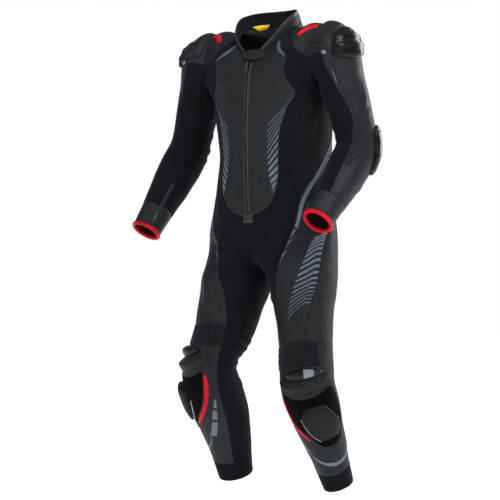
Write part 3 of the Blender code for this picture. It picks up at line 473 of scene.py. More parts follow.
# ---------------------------------------------------------------- seams
# A seam runs along v (its table gives u by v) or along u (its table gives v by u).
# Each table row is a point of the seam's curve.
BODY_SEAMS = {
    "centre front": ("v", ((0, 0), (8.25, 0), (10, 0))),
    "centre back": ("v", ((0, 10), (6, 10), (10, 10))),
    "shield": ("v", (
        (0, 1.35), (0.7, 1.9), (1.6, 2.7), (2.5, 2.75), (3.75, 3.0), (4.5, 2.25),
        (5.2, 2.0), (6.5, 1.95), (7.25, 1.6), (7.9, 0.95), (8.15, 0.4), (8.25, 0))),
    "yoke": ("u", ((1.75, 0), (2.4, 0.6), (3.2, 1.4), (4, 2.1))),
    "neck and shoulder": ("u", ((0, 0), (1.35, 0), (1.75, 0), (2, 0), (4, 0))),
    "back neck and shoulder": ("u", ((6, 0), (8, 0), (10, 0))),
    "armhole front": ("v", ((0, 4), (2.1, 4), (3.25, 4), (3.75, 4), (4, 4))),
    "armhole back": ("v", ((0, 6), (4, 6))),
    "underarm": ("u", ((4, 4), (6, 4))),
    "chest arc": ("u", ((3.0, 3.75), (3.5, 3.95), (4, 4))),
    "rib panel": ("v", ((4, 4), (4.5, 3.6), (5.25, 3.15), (6.5, 3.05), (7.1, 3.1), (7.6, 3.27))),
    "hip": ("v", (
        (4, 6), (5.25, 5.9), (6, 5.2), (6.75, 4.4), (7.2, 3.8), (7.6, 3.27), (8.2, 2.85), (9, 2.35),
        (10, 1.75), (10.5, 1.3), (11, 0.8), (11.5, 0.35), (12, -0.1), (13, -0.95),
        (13.75, -1.5), (14.95, -1.75), (17, -2), (19.4, -1.6))),
    "waist": ("u", ((5.2, 6), (10, 6))),
    "print top": ("u", ((2.35, 9), (5, 9))),
    "thigh": ("v", ((9, 5.0), (10, 4.6), (11, 3.9), (12.1, 3.2), (13, 2.5), (13.75, 1.9))),
    "crotch row": ("u", ((0, 10), (1.75, 10), (10, 10), (14, 10), (15.75, 10))),
    "back leg": ("v", ((10, 10), (10.5, 9.85), (11, 9.65), (11.5, 9.4), (12, 9.2), (13.75, 8.8))),
    "knee top": ("u", ((-1.5, 13.75), (1.9, 13.75), (3.2, 13.75), (6.5, 13.75),
                       (8.8, 13.75), (12.5, 13.75))),
    "knee bottom": ("u", ((-1.75, 14.95), (3.2, 14.95))),
    "knee side": ("v", ((13.75, 3.2), (14.95, 3.2))),
    "calf": ("v", ((13.75, 6.5), (19.4, 6.5))),
    "hem": ("u", ((-1.6, 19.4), (6.5, 19.4), (12.4, 19.4))),
}
ARM_SEAMS = {
    "armhole": ("u", ((2.9, 0), (7.5, 0), (11.25, 0), (11.75, 0), (12.9, 0))),
    "sleeve front": ("v", ((0, 2.9), (1.4, 2.65), (2.1, 3.0), (3.4, 3.55), (4.9, 3.1),
                           (6.8, 3.2), (8, 3.3))),
    "sleeve back": ("v", ((0, 7.5), (3.4, 7.6), (8, 7.6))),
    "elbow top": ("u", ((3.55, 3.4), (4.8, 3.4), (7.6, 3.4))),
    "forearm": ("v", ((3.4, 4.8), (5, 4.6), (6, 4.2), (6.8, 3.7))),
    "elbow bottom": ("u", ((3.2, 6.8), (3.7, 6.8))),
    "wrist": ("u", ((3.3, 8), (7.6, 8), (13.3, 8))),
}
# Each panel: chart kind, edge as (seam, from, to, shift of u), cloth.
PANELS = {
    "front_shield": ("body", (
        ("neck and shoulder", 0, 1.35, 0), ("shield", 0, 8.25, 0),
        ("centre front", 8.25, 0, 0)), "leather"),
    "chest_stretch": ("body", (
        ("neck and shoulder", 1.35, 1.75, 0), ("yoke", 1.75, 4, 0),
        ("armhole front", 2.1, 4, 0), ("chest arc", 4, 3.0, 0), ("shield", 3.75, 0, 0)),
        "stretch"),
    "yoke": ("body", (
        ("neck and shoulder", 1.75, 4, 0), ("armhole front", 0, 2.1, 0),
        ("yoke", 4, 1.75, 0)), "leather"),
    "front_stretch": ("body", (
        ("chest arc", 3.0, 4, 0), ("rib panel", 4, 7.6, 0), ("hip", 7.6, 10, 0),
        ("crotch row", 1.75, 0, 0), ("centre front", 10, 8.25, 0),
        ("shield", 8.25, 3.75, 0)), "stretch"),
    "side_panel": ("body", (
        ("underarm", 4, 6, 0), ("hip", 4, 7.6, 0), ("rib panel", 7.6, 4, 0)),
        "stretch"),
    "back_upper": ("body", (
        ("back neck and shoulder", 6, 10, 0), ("centre back", 0, 6, 0),
        ("waist", 10, 5.2, 0), ("hip", 6, 4, 0), ("armhole back", 4, 0, 0)),
        "leather"),
    "hip_outer": ("body", (
        ("waist", 5.2, 10, 0), ("centre back", 6, 10, 0), ("back leg", 10, 13.75, 0),
        ("knee top", 8.8, 1.9, 0), ("thigh", 13.75, 9, 0), ("print top", 5, 2.35, 0),
        ("hip", 9, 6, 0)), "leather"),
    "thigh_front": ("body", (
        ("print top", 2.35, 5, 0), ("thigh", 9, 13.75, 0), ("knee top", 1.9, -1.5, 0),
        ("hip", 13.75, 9, 0)), "leather"),
    "inner_leg": ("body", (
        ("crotch row", 10, 15.75, 0), ("hip", 10, 13.75, 14), ("knee top", 12.5, 8.8, 0),
        ("back leg", 13.75, 10, 0)), "stretch"),
    "leg_back": ("body", (
        ("knee top", 6.5, 12.5, 0), ("hip", 13.75, 19.4, 14), ("hem", 12.4, 6.5, 0),
        ("calf", 19.4, 13.75, 0)), "stretch"),
    "knee_stretch": ("body", (
        ("knee top", -1.5, 3.2, 0), ("knee side", 13.75, 14.95, 0),
        ("knee bottom", 3.2, -1.75, 0), ("hip", 14.95, 13.75, 0)), "stretch"),
    "shin": ("body", (
        ("knee bottom", -1.75, 3.2, 0), ("knee side", 14.95, 13.75, 0),
        ("knee top", 3.2, 6.5, 0), ("calf", 13.75, 19.4, 0), ("hem", 6.5, -1.6, 0),
        ("hip", 19.4, 14.95, 0)), "leather"),
    "sleeve_outer": ("arm", (
        ("armhole", 2.9, 7.5, 0), ("sleeve back", 0, 3.4, 0), ("elbow top", 7.6, 3.55, 0),
        ("sleeve front", 3.4, 0, 0)), "leather"),
    "elbow_stretch": ("arm", (
        ("elbow top", 3.55, 4.8, 0), ("forearm", 3.4, 6.8, 0),
        ("elbow bottom", 3.7, 3.2, 0), ("sleeve front", 6.8, 3.4, 0)), "ribbed"),
    "forearm_outer": ("arm", (
        ("elbow top", 4.8, 7.6, 0), ("sleeve back", 3.4, 8, 0), ("wrist", 7.6, 3.3, 0),
        ("sleeve front", 8, 6.8, 0), ("elbow bottom", 3.2, 3.7, 0),
        ("forearm", 6.8, 3.4, 0)), "leather"),
    "sleeve_inner": ("arm", (
        ("armhole", 7.5, 12.9, 0), ("sleeve front", 0, 8, 10), ("wrist", 13.3, 7.6, 0),
        ("sleeve back", 8, 0, 0)), "stretch"),
}


# ---------------------------------------------------------------- lines and patches
def seams_of(kind):
    """The seam table of a kind of chart."""
    return BODY_SEAMS if kind == "body" else ARM_SEAMS


def smooth_value(table, t):
    """A table's value at t, on a curve through its rows."""
    xs = [row[0] for row in table]
    ys = [row[1] for row in table]
    if len(xs) == 2:
        return ys[0] + (ys[1] - ys[0]) * (t - xs[0]) / (xs[1] - xs[0])
    k = max(j for j in range(len(xs) - 1) if xs[j] <= t + 1e-9)
    steps = [(ys[j + 1] - ys[j]) / (xs[j + 1] - xs[j]) for j in range(len(xs) - 1)]
    slopes = [steps[0]] + [0] * (len(xs) - 2) + [steps[-1]]
    for j in range(1, len(xs) - 1):
        if steps[j - 1] * steps[j] > 0:
            slopes[j] = 2 * steps[j - 1] * steps[j] / (steps[j - 1] + steps[j])
    width = xs[k + 1] - xs[k]
    s = (t - xs[k]) / width
    return (ys[k] * (1 + 2 * s) * (1 - s) ** 2 + slopes[k] * width * s * (1 - s) ** 2
            + ys[k + 1] * s * s * (3 - 2 * s) + slopes[k + 1] * width * s * s * (s - 1))


def seam_line(kind, name, start, end, shift, count):
    """Chart addresses along a stretch of a seam."""
    along, table = seams_of(kind)[name]
    line = []
    for value in np.linspace(start, end, count):
        other = smooth_value(table, value)
        line.append((value + shift, other) if along == "u" else (other + shift, value))
    return np.array(line)


def spaced(chart, line, spacing):
    """The same line with its points evenly apart in space, both ends kept."""
    places, _ = SURFACE.sample(chart, line)
    run = np.concatenate([[0], np.cumsum(np.linalg.norm(np.diff(places, axis=0), axis=1))])
    parts = max(1, round(run[-1] / spacing))
    reach = np.linspace(0, run[-1], parts + 1)
    return np.stack([np.interp(reach, run, line[:, axis]) for axis in (0, 1)], 1)


def panel_outline(kind, chart, edge, spacing):
    """A panel's outline as addresses, evenly apart in space."""
    pieces = []
    for name, start, end, shift in edge:
        line = seam_line(kind, name, start, end, shift, 8 + int(24 * abs(end - start)))
        pieces.append(spaced(chart, line, spacing)[:-1])
    return np.concatenate(pieces)


def curve_points(a, b, c, d, parts):
    """Points from b towards c, on a curve through four corners."""
    return [0.5 * (2 * b + (c - a) * s + (2 * a - 5 * b + 4 * c - d) * s * s
                   + (3 * b - a - 3 * c + d) * s ** 3) for s in np.arange(parts) / parts]


def smooth_loop(corners, parts):
    """A closed curve through the corners."""
    corners = np.array(corners, dtype=float)
    points = []
    for four in zip(*(np.roll(corners, -k, axis=0) for k in (-1, 0, 1, 2))):
        points.extend(curve_points(*four, parts))
    return np.array(points)


def smooth_path(corners, parts):
    """An open curve through the corners."""
    corners = [np.array(corner, dtype=float) for corner in corners]
    corners = [2 * corners[0] - corners[1]] + corners + [2 * corners[-1] - corners[-2]]
    points = []
    for k in range(1, len(corners) - 2):
        points.extend(curve_points(*corners[k - 1:k + 3], parts))
    return np.array(points + [corners[-2]])


def signed_area(outline):
    """The area inside an outline, negative where it runs clockwise."""
    ahead = np.roll(outline, -1, axis=0)
    return float((outline[:, 0] * ahead[:, 1] - ahead[:, 0] * outline[:, 1]).sum()) / 2


def inside(outline, points):
    """Which points lie in a closed outline."""
    found = np.zeros(len(points), dtype=bool)
    for (x1, y1), (x2, y2) in zip(outline, np.roll(outline, -1, axis=0)):
        if y1 != y2:
            level = (y1 > points[:, 1]) != (y2 > points[:, 1])
            found ^= level & (points[:, 0] < x1 + (points[:, 1] - y1) / (y2 - y1) * (x2 - x1))
    return found


def gap_to(line, points, closed=True):
    """Distance in space from each point to a line, and the share along it of the nearest place."""
    ahead = np.roll(line, -1, axis=0)
    count = len(line) if closed else len(line) - 1
    best = np.full(len(points), 1e9)
    share = np.zeros(len(points))
    for k in range(count):
        run = ahead[k] - line[k]
        s = np.clip(((points - line[k]) @ run) / max(run @ run, 1e-12), 0, 1)
        away = points - line[k] - s[:, None] * run
        away = (away * away).sum(1)
        nearer = away < best
        share[nearer] = (k + s[nearer]) / count
        best = np.where(nearer, away, best)
    return np.sqrt(best), share


def hand_of(chart):
    """1 where a loop that runs counter-clockwise in (u, v) faces out, else -1."""
    return -1 if chart.endswith("left") else 1


class Patch:
    """Part of the garment's surface inside an outline, as points and triangles."""

    def __init__(self, chart, outline, spacing, rings, ribs=None):
        if signed_area(outline) < 0:
            outline = outline[::-1]
        self.chart = chart
        self.outline = outline
        self.rim, rim_normals = SURFACE.sample(chart, outline)
        tangent = np.roll(self.rim, -1, axis=0) - np.roll(self.rim, 1, axis=0)
        inward = units(hand_of(chart) * np.cross(rim_normals, tangent))
        inner = []
        for depth in rings:
            inner.append(self.kept(SURFACE.moved(chart, outline, inward * depth), depth * 0.8))
        low, high = outline.min(axis=0), outline.max(axis=0)
        probe = np.stack(np.meshgrid(*(np.linspace(low[k], high[k], 9)[1:-1] for k in (0, 1))), -1)
        probe = probe.reshape(-1, 2)
        probe = probe[inside(outline, probe)]
        if not len(probe):
            probe = outline
        lengths = [np.nanmean(np.linalg.norm(s, axis=1)) for s in SURFACE.slopes(chart, probe)]
        self.scale = np.array(lengths)
        if ribs:
            vs = np.linspace(low[1], high[1], ribs * RIB_ROWS + 1)[1:-1]
            us = np.arange(low[0], high[0], RIB_SPACING / lengths[0])
            grid = np.stack(np.meshgrid(us, vs), -1).reshape(-1, 2)
        else:
            us = np.arange(low[0], high[0], spacing / lengths[0])
            vs = np.arange(low[1], high[1], spacing * 0.866 / lengths[1])
            grid = np.stack(np.meshgrid(us, vs), -1)
            grid[::2, :, 0] += spacing / lengths[0] / 2
            grid = grid.reshape(-1, 2)
        grid = grid[inside(outline, grid)]
        last = rings[-1] if rings else 0
        inner.append(self.kept(grid, last + (0.25 if ribs else 0.5) * spacing))
        self.uv = np.concatenate([outline] + inner)
        self.places, self.normals = SURFACE.sample(chart, self.uv)
        good = ~np.isnan(self.places).any(axis=1)
        good[:len(outline)] = True
        self.uv, self.places, self.normals = self.uv[good], self.places[good], self.normals[good]
        self.count = len(outline)
        self.gap, _ = gap_to(self.rim, self.places)
        self.gap[:self.count] = 0
        flat = self.uv * self.scale
        _, _, faces, origins, _, _ = delaunay_2d_cdt(
            [Vector(point) for point in flat], [], [list(range(self.count))], 1, 1e-7, True)
        faces = np.array([[origins[corner][0] for corner in face] for face in faces])
        self.faces = faces[inside(outline, self.uv[faces].mean(axis=1))]

    def kept(self, uv, margin):
        """Those addresses inside the outline that keep a margin from it."""
        uv = uv[~np.isnan(uv).any(axis=1)]
        uv = uv[inside(self.outline, uv)]
        places, _ = SURFACE.sample(self.chart, uv)
        whole = ~np.isnan(places).any(axis=1)
        uv, places = uv[whole], places[whole]
        if not len(uv):
            return uv
        gap, _ = gap_to(self.rim, places)
        return uv[gap > margin]


# ---------------------------------------------------------------- folds
# Creases: chart kind, height and width in millimetres, path.
FOLDS = (
    # elbow bend, inner side
    ("arm", 4.5, 9, ((8.0, 4.5), (9.2, 4.75), (10.6, 4.7), (11.8, 4.4))),
    ("arm", 3.5, 8, ((8.2, 5.2), (9.5, 5.3), (10.8, 5.3), (11.9, 5.05))),
    ("arm", 2.8, 8, ((8.6, 3.9), (9.8, 4.1), (11.0, 3.95))),
    ("arm", 2.2, 7, ((9.0, 5.9), (10.2, 5.95), (11.4, 5.7))),
    ("arm", 2.0, 9, ((8.4, 1.6), (9.4, 2.4), (10.4, 3.3))),
    ("arm", 2.4, 10, ((9.8, 0.8), (10.6, 1.7), (11.0, 2.9))),
    ("arm", 1.8, 9, ((5.4, 2.3), (5.0, 3.0), (4.4, 3.3))),
    ("arm", 1.6, 8, ((6.6, 2.0), (6.9, 2.8), (7.2, 3.2))),
    ("arm", 1.5, 8, ((6.6, 6.7), (5.9, 7.2), (4.9, 7.4))),
    ("arm", 1.4, 7, ((7.0, 6.1), (6.9, 7.0), (6.5, 7.6))),
    # armpit and chest
    ("body", 2.6, 11, ((3.9, 3.6), (3.3, 3.3), (2.9, 2.7))),
    ("body", 2.0, 10, ((3.8, 3.0), (3.4, 2.4), (3.0, 1.6))),
    ("body", 1.6, 12, ((4.6, 4.4), (4.4, 5.0), (4.3, 5.8))),
    ("body", 1.8, 10, ((6.3, 3.8), (6.9, 3.4), (7.6, 3.2))),
    ("body", 1.8, 11, ((6.4, 4.6), (7.2, 4.4), (8.2, 4.5))),
    # back and lower back
    ("body", 1.8, 12, ((7.4, 6.0), (8.4, 6.25), (9.6, 6.2))),
    ("body", 1.6, 11, ((7.0, 5.2), (8.0, 5.4), (9.4, 5.3))),
    ("body", 1.5, 10, ((6.4, 6.9), (7.4, 7.15), (8.8, 7.1))),
    # waist and groin
    ("body", 1.5, 10, ((2.4, 7.6), (1.6, 8.2), (0.7, 8.6))),
    ("body", 2.2, 11, ((2.4, 9.1), (1.5, 9.5), (0.5, 9.9))),
    ("body", 2.6, 10, ((1.9, 9.9), (1.2, 10.3), (0.2, 10.5))),
    ("body", 2.2, 10, ((1.0, 10.9), (0.2, 11.0), (-0.8, 10.9))),
    ("body", 1.8, 10, ((13.6, 11.6), (12.8, 11.8), (11.9, 11.7))),
    ("body", 2.4, 11, ((9.4, 10.3), (10.2, 10.6), (11.2, 10.6))),
    ("body", 2.0, 11, ((7.4, 10.0), (8.4, 10.3), (9.4, 10.35))),
    ("body", 1.4, 12, ((5.8, 8.4), (5.2, 9.2), (4.9, 10.1))),
    # thigh
    ("body", 1.4, 14, ((1.4, 11.0), (1.1, 12.0), (1.2, 13.0))),
    ("body", 1.5, 12, ((6.0, 11.4), (6.6, 12.2), (6.9, 13.0))),
    ("body", 1.6, 10, ((12.6, 12.9), (11.6, 13.2), (10.5, 13.2))),
    # back of the knee and calf
    ("body", 4.2, 10, ((7.4, 14.3), (8.8, 14.5), (10.4, 14.5), (11.8, 14.3))),
    ("body", 3.6, 9, ((7.4, 15.0), (8.8, 15.15), (10.4, 15.15), (11.9, 14.95))),
    ("body", 2.6, 9, ((7.6, 15.7), (9.0, 15.85), (10.6, 15.8), (11.8, 15.6))),
    ("body", 2.4, 10, ((7.8, 13.9), (9.2, 13.95), (10.8, 13.95))),
    ("body", 1.6, 10, ((8.0, 16.9), (9.2, 17.2), (10.8, 17.1))),
    ("body", 1.3, 10, ((5.2, 16.0), (5.6, 16.9), (5.4, 17.8))),
    ("body", 1.5, 8, ((11.6, 18.4), (10.2, 18.7), (8.6, 18.6))),
    ("body", 1.2, 8, ((5.8, 18.5), (4.6, 18.9), (3.4, 18.85))),
)
VALLEY = {"depth": 0.42, "away": 1.75, "width": 0.75, "end": 3.2}    # in heights and widths


class Fold:
    """One crease: a ridge with a valley each side, along a path on the cloth."""

    def __init__(self, chart, height, width, corners):
        line = spaced(chart, smooth_path(corners, 6), width * 0.8)
        self.line, _ = SURFACE.sample(chart, line)
        self.height = height
        self.width = width
        self.phase = 37 * abs(float(self.line[0].sum()))

    def lift(self, places):
        reach = self.width * VALLEY["end"]
        low, high = self.line.min(axis=0) - reach, self.line.max(axis=0) + reach
        near = ((places > low) & (places < high)).all(axis=1)
        found = np.zeros(len(places))
        if near.any():
            away, share = gap_to(self.line, places[near], closed=False)
            x = away / self.width
            valley = np.exp(-((x - VALLEY["away"]) / VALLEY["width"]) ** 2)
            ridge = np.exp(-x * x) - VALLEY["depth"] * valley
            taper = np.sin(math.pi * np.clip(share, 0.02, 0.98)) ** 0.6
            uneven = 1 + 0.22 * np.sin(11 * share + self.phase)
            found[near] = self.height * ridge * taper * uneven
        return found


GOLDEN_TURN = 2.399      # radians from one wave's direction to the next


def slack(places, amount):
    """Long soft unevenness of cloth that isn't stretched, from waves in many directions."""
    total = np.zeros(len(places))
    for k in range(7):
        turn = GOLDEN_TURN * k
        lean = math.sin(1.7 * k + 0.4)
        along = np.array((math.cos(turn), math.sin(turn), lean))
        total += np.sin(places @ along * (2 * math.pi / (0.055 + 0.013 * k)) + 1.9 * k)
    return amount * total / 3


def cloth_lift(chart, places, amount=0.0005):
    """How far the cloth stands off the plain surface."""
    total = slack(places, amount)
    for fold in FOLDS_ON[chart.split("_")[1]]:
        total += fold.lift(places)
    return total


# ---------------------------------------------------------------- pieces
def new_object(name, points, faces, materials):
    """A smooth mesh object with its materials."""
    mesh = bpy.data.meshes.new(name)
    mesh.from_pydata([tuple(point) for point in points], [], [list(face) for face in faces])
    for material in materials:
        mesh.materials.append(MATERIALS[material])
    mesh.polygons.foreach_set("use_smooth", [True] * len(mesh.polygons))
    piece = bpy.data.objects.new(name, mesh)
    bpy.context.collection.objects.link(piece)
    return piece


def dress(piece, slot, *nodes, body="suit"):
    """A finished piece rides its body and stands for its solids; its slot is not used."""
    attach(piece, body)
    if nodes:
        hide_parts(*nodes)
    return piece


def mark_sharp(mesh, loops):
    """Sharp edges along vertex loops, each given as (first, count)."""
    ends = read_all(mesh.edges, "vertices", 2, np.int32)
    sharp = np.zeros(len(ends), dtype=bool)
    for first, count in loops:
        mine = ((ends >= first) & (ends < first + count)).all(axis=1)
        apart = np.abs(ends[:, 0] - ends[:, 1])
        sharp |= mine & ((apart == 1) | (apart == count - 1))
    layer = mesh.attributes.new("sharp_edge", "BOOLEAN", "EDGE")
    layer.data.foreach_set("value", sharp)


def give_uv(mesh, flat):
    """A UV map in metres, from a place on the flat for each vertex."""
    corner = read_all(mesh.loops, "vertex_index", 1, np.int32)[:, 0]
    layer = mesh.uv_layers.new(name="flat")
    layer.data.foreach_set("uv", np.asarray(flat, dtype=np.float32)[corner].ravel())


def give_wear(mesh, values):
    """How rubbed each vertex is, for the leather's tone."""
    layer = mesh.attributes.new("wear", "FLOAT", "POINT")
    layer.data.foreach_set("value", np.asarray(values, dtype=np.float32))


def shell(name, patch, top, bottom, materials, wear=None):
    """A closed wall between two layers of a patch; the second material is its inner face."""
    shift = len(top)
    upper = patch.faces if hand_of(patch.chart) > 0 else patch.faces[:, ::-1]
    k = np.arange(patch.count)
    ahead = (k + 1) % patch.count
    sides = np.stack([ahead, k, k + shift, ahead + shift], 1)
    if hand_of(patch.chart) < 0:
        sides = sides[:, ::-1]
    faces = upper.tolist() + (upper[:, ::-1] + shift).tolist() + sides.tolist()
    piece = new_object(name, np.concatenate([top, bottom]), faces, materials)
    mesh = piece.data
    if len(materials) > 1:
        index = np.zeros(len(faces), dtype=np.int32)
        index[len(upper):2 * len(upper)] = 1
        mesh.polygons.foreach_set("material_index", index)
    mark_sharp(mesh, ((0, patch.count), (shift, patch.count)))
    flat = patch.uv * patch.scale
    give_uv(mesh, np.concatenate([flat, flat]))
    if wear is not None:
        give_wear(mesh, np.concatenate([wear, wear * 0]))
    return piece


def area_of(points, faces):
    """The area of triangles."""
    a, b, c = (points[faces[:, k]] for k in range(3))
    return float(np.linalg.norm(np.cross(b - a, c - a), axis=1).sum()) / 2


def declare_cut(patch):
    """Works out a patch's area and the spread of its cut, and uses neither."""
    area = area_of(patch.places, patch.faces)
    spread = (patch.uv.max(axis=0) - patch.uv.min(axis=0)) * patch.scale
    if spread[0] * spread[1] < area * 1.02:
        spread *= math.sqrt(area * 1.02 / (spread[0] * spread[1]))


# ---------------------------------------------------------------- materials
MATERIALS = {}
HIDE = (0.0112, 0.0128, 0.0156)
HIDE_SLEEVE = (0.0118, 0.0134, 0.0172)
KNIT = (0.0040, 0.0045, 0.0065)
INK = (0.120, 0.152, 0.180)


def add(tree, kind, inputs=None, **settings):
    """A shader node with its settings, and each input a value or another node's output."""
    item = tree.nodes.new("ShaderNode" + kind)
    for key, value in settings.items():
        setattr(item, key, value)
    for key, value in (inputs or {}).items():
        if isinstance(value, bpy.types.NodeSocket):
            tree.links.new(value, item.inputs[key])
        else:
            item.inputs[key].default_value = value
    return item


def maths(tree, operation, *values):
    return add(tree, "Math", dict(enumerate(values)), operation=operation).outputs[0]


def blended(tree, factor, first, second):
    """A mix of two colours, each a triple or another node's output."""
    first, second = (part if isinstance(part, bpy.types.NodeSocket) else (*part, 1)
                     for part in (first, second))
    return add(tree, "Mix", {"Factor": factor, 6: first, 7: second}, data_type="RGBA").outputs[2]


def cloudy(tree, value, colour, dark, light, start=0.3, end=0.7):
    """A colour that drifts between a darker and a lighter shade of itself."""
    return blended(tree, ranged(tree, value, 0.0, 1.0, start, end), shade(colour, dark),
                   shade(colour, light))


def grain_cells(tree, where):
    """Pebbled cells, 0 on their borders and 1 inside."""
    cells = add(tree, "TexVoronoi", {"Vector": where, "Scale": 620.0}, feature="DISTANCE_TO_EDGE")
    return maths(tree, "MINIMUM", times(tree, cells.outputs["Distance"], 5.0), 1.0)


def ranged(tree, value, low, high, start=0.0, end=1.0):
    """A value mapped from start..end to low..high."""
    return add(tree, "MapRange", {"Value": value, "From Min": start, "From Max": end,
                                  "To Min": low, "To Max": high}).outputs["Result"]


def noise(tree, where, scale, detail=3.0, roughness=0.55):
    return add(tree, "TexNoise", {"Vector": where, "Scale": scale, "Detail": detail,
                                  "Roughness": roughness}).outputs["Fac"]


def bump(tree, height, strength, distance, normal=None):
    inputs = {"Height": height, "Strength": strength, "Distance": distance}
    if normal is not None:
        inputs["Normal"] = normal
    return add(tree, "Bump", inputs).outputs["Normal"]


def start_material(name):
    """A new material's tree and shader, and its object and UV coordinates."""
    material = bpy.data.materials.new(name)
    material.use_nodes = True
    tree = material.node_tree
    coordinates = add(tree, "TexCoord")
    shader = tree.nodes["Principled BSDF"]
    MATERIALS[name] = material
    return tree, shader, coordinates.outputs["Object"], coordinates.outputs["UV"]


def set_values(shader, **values):
    for key, value in values.items():
        shader.inputs[key.replace("_", " ")].default_value = value


def shade(colour, factor):
    return tuple(part * factor for part in colour)


def times(tree, first, second):
    return maths(tree, "MULTIPLY", first, second)


def paint(tree, shader, base, rough, normal, **values):
    """Joins colour, roughness and normal to the shader, and sets its other values."""
    for key, output in (("Base Color", base), ("Roughness", rough), ("Normal", normal)):
        tree.links.new(output, shader.inputs[key])
    set_values(shader, **values)


def leather(name, colour, rough, grain=0.30, worn=1.5, specular=0.14, holes=0.0):
    """Pebbled hide: grain cells, pores, soft mottling, paler and smoother where it rubs."""
    tree, shader, where, flat = start_material(name)
    mottle = noise(tree, where, 60.0, 5.0, 0.65)
    broad = noise(tree, where, 7.0, 3.0)
    cells = grain_cells(tree, where)
    pores = noise(tree, where, 1500.0, 2.0)
    creases = noise(tree, where, 150.0, 5.0, 0.62)
    wear = add(tree, "Attribute", attribute_name="wear").outputs["Fac"]
    tone = maths(tree, "ADD", times(tree, mottle, 0.6),
                 times(tree, broad, 0.4))
    base = cloudy(tree, tone, colour, 0.46, 1.66)
    base = blended(tree, ranged(tree, cells, 0.35, 0.0), base, shade(colour, 0.55))
    base = blended(tree, times(tree, wear, 0.55), base, shade(colour, worn))
    if holes:
        dots = ranged(tree, weave(tree, flat, holes, 0.0)[0], 0.0, 1.0, 0.84, 0.92)
        base = blended(tree, dots, base, shade(colour, 0.1))
    uneven = ranged(tree, mottle, rough - 0.07, rough + 0.09, 0.3, 0.7)
    uneven = maths(tree, "SUBTRACT", uneven, times(tree, wear, 0.08))
    fine = bump(tree, cells, grain, 0.00022, bump(tree, creases, 0.16, 0.0010))
    paint(tree, shader, base, uneven, bump(tree, pores, 0.12, 0.0001, fine),
          Specular_IOR_Level=specular)


def weave(tree, flat, pitch, turn):
    """Crossing yarns on the flat of the cloth, 0 to 1."""
    parts = add(tree, "SeparateXYZ", {"Vector": flat})
    x, y = parts.outputs["X"], parts.outputs["Y"]
    cosine, sine = math.cos(turn), math.sin(turn)
    a = maths(tree, "ADD", times(tree, x, cosine), times(tree, y, sine))
    b = maths(tree, "SUBTRACT", times(tree, y, cosine), times(tree, x, sine))
    wave_a = maths(tree, "SINE", times(tree, a, 2 * math.pi / pitch))
    wave_b = maths(tree, "SINE", times(tree, b, 2 * math.pi / pitch))
    return ranged(tree, times(tree, wave_a, wave_b), 0.0, 1.0, -1.0, 1.0), a, b


def stretch(name, colour, pitch=0.0011, sheen=0.05):
    """Knitted stretch cloth: fine cross weave, lint and soft sheen."""
    tree, shader, where, flat = start_material(name)
    yarns, _, _ = weave(tree, flat, pitch, 0.78)
    mottle = noise(tree, where, 30.0, 4.0)
    lint = noise(tree, where, 900.0, 2.0)
    base = cloudy(tree, mottle, colour, 0.75, 1.3)
    base = blended(tree, times(tree, yarns, 0.35), base, shade(colour, 1.7))
    soft = bump(tree, noise(tree, where, 120.0, 4.0), 0.14, 0.0010)
    paint(tree, shader, base, ranged(tree, lint, 0.72, 0.9), bump(tree, yarns, 0.35, 0.00018, soft),
          Specular_IOR_Level=0.05, Sheen_Weight=sheen, Sheen_Roughness=0.45,
          Sheen_Tint=(0.75, 0.8, 1.0, 1.0))


def ribbed(name, colour, bright, pitch, turn):
    """Stretch cloth with fine raised diagonal cords."""
    tree, shader, where, flat = start_material(name)
    yarns, across, _ = weave(tree, flat, 0.0011, turn)
    cord = maths(tree, "SINE", times(tree, across, 2 * math.pi / pitch))
    cord = maths(tree, "POWER", ranged(tree, cord, 0.0, 1.0, -1.0, 1.0), 3.0)
    patchy = ranged(tree, noise(tree, where, 16.0, 3.0), 0.45, 1.0, 0.3, 0.7)
    base = blended(tree, times(tree, cord, patchy), colour, bright)
    base = blended(tree, times(tree, yarns, 0.2), base, shade(bright, 0.7))
    deep = bump(tree, cord, 0.9, 0.0009)
    paint(tree, shader, base, ranged(tree, cord, 0.85, 0.6), bump(tree, yarns, 0.3, 0.00015, deep),
          Specular_IOR_Level=0.1, Sheen_Weight=0.05, Sheen_Roughness=0.4)


def plastic(name, colour, rough, specular=0.5, coat=1.0, scuffs=0.5):
    """Moulded armour: clear gloss over a dark body, with faint orange peel and scuffs."""
    tree, shader, where, _ = start_material(name)
    scratch = noise(tree, where, 420.0, 6.0, 0.7)
    base = cloudy(tree, noise(tree, where, 35.0, 3.0), colour, 0.8, 1.25)
    paint(tree, shader, base, ranged(tree, scratch, rough, rough + 0.12 * scuffs, 0.4, 0.75),
          bump(tree, noise(tree, where, 160.0, 2.0), 0.025, 0.0008),
          Specular_IOR_Level=specular, Coat_Weight=coat, Coat_Roughness=0.05)


def pile(name, colour):
    """Hook-and-loop field: matted loops."""
    tree, shader, where, _ = start_material(name)
    loops = noise(tree, where, 700.0, 5.0, 0.7)
    mat = noise(tree, where, 70.0, 3.0)
    base = cloudy(tree, loops, colour, 0.4, 1.9, 0.35)
    base = blended(tree, ranged(tree, mat, 0.0, 0.3, 0.4, 0.7), base, shade(colour, 2.4))
    paint(tree, shader, base, ranged(tree, mat, 0.85, 1.0), bump(tree, loops, 0.9, 0.0009),
          Specular_IOR_Level=0.03, Sheen_Weight=0.02, Sheen_Roughness=0.5)


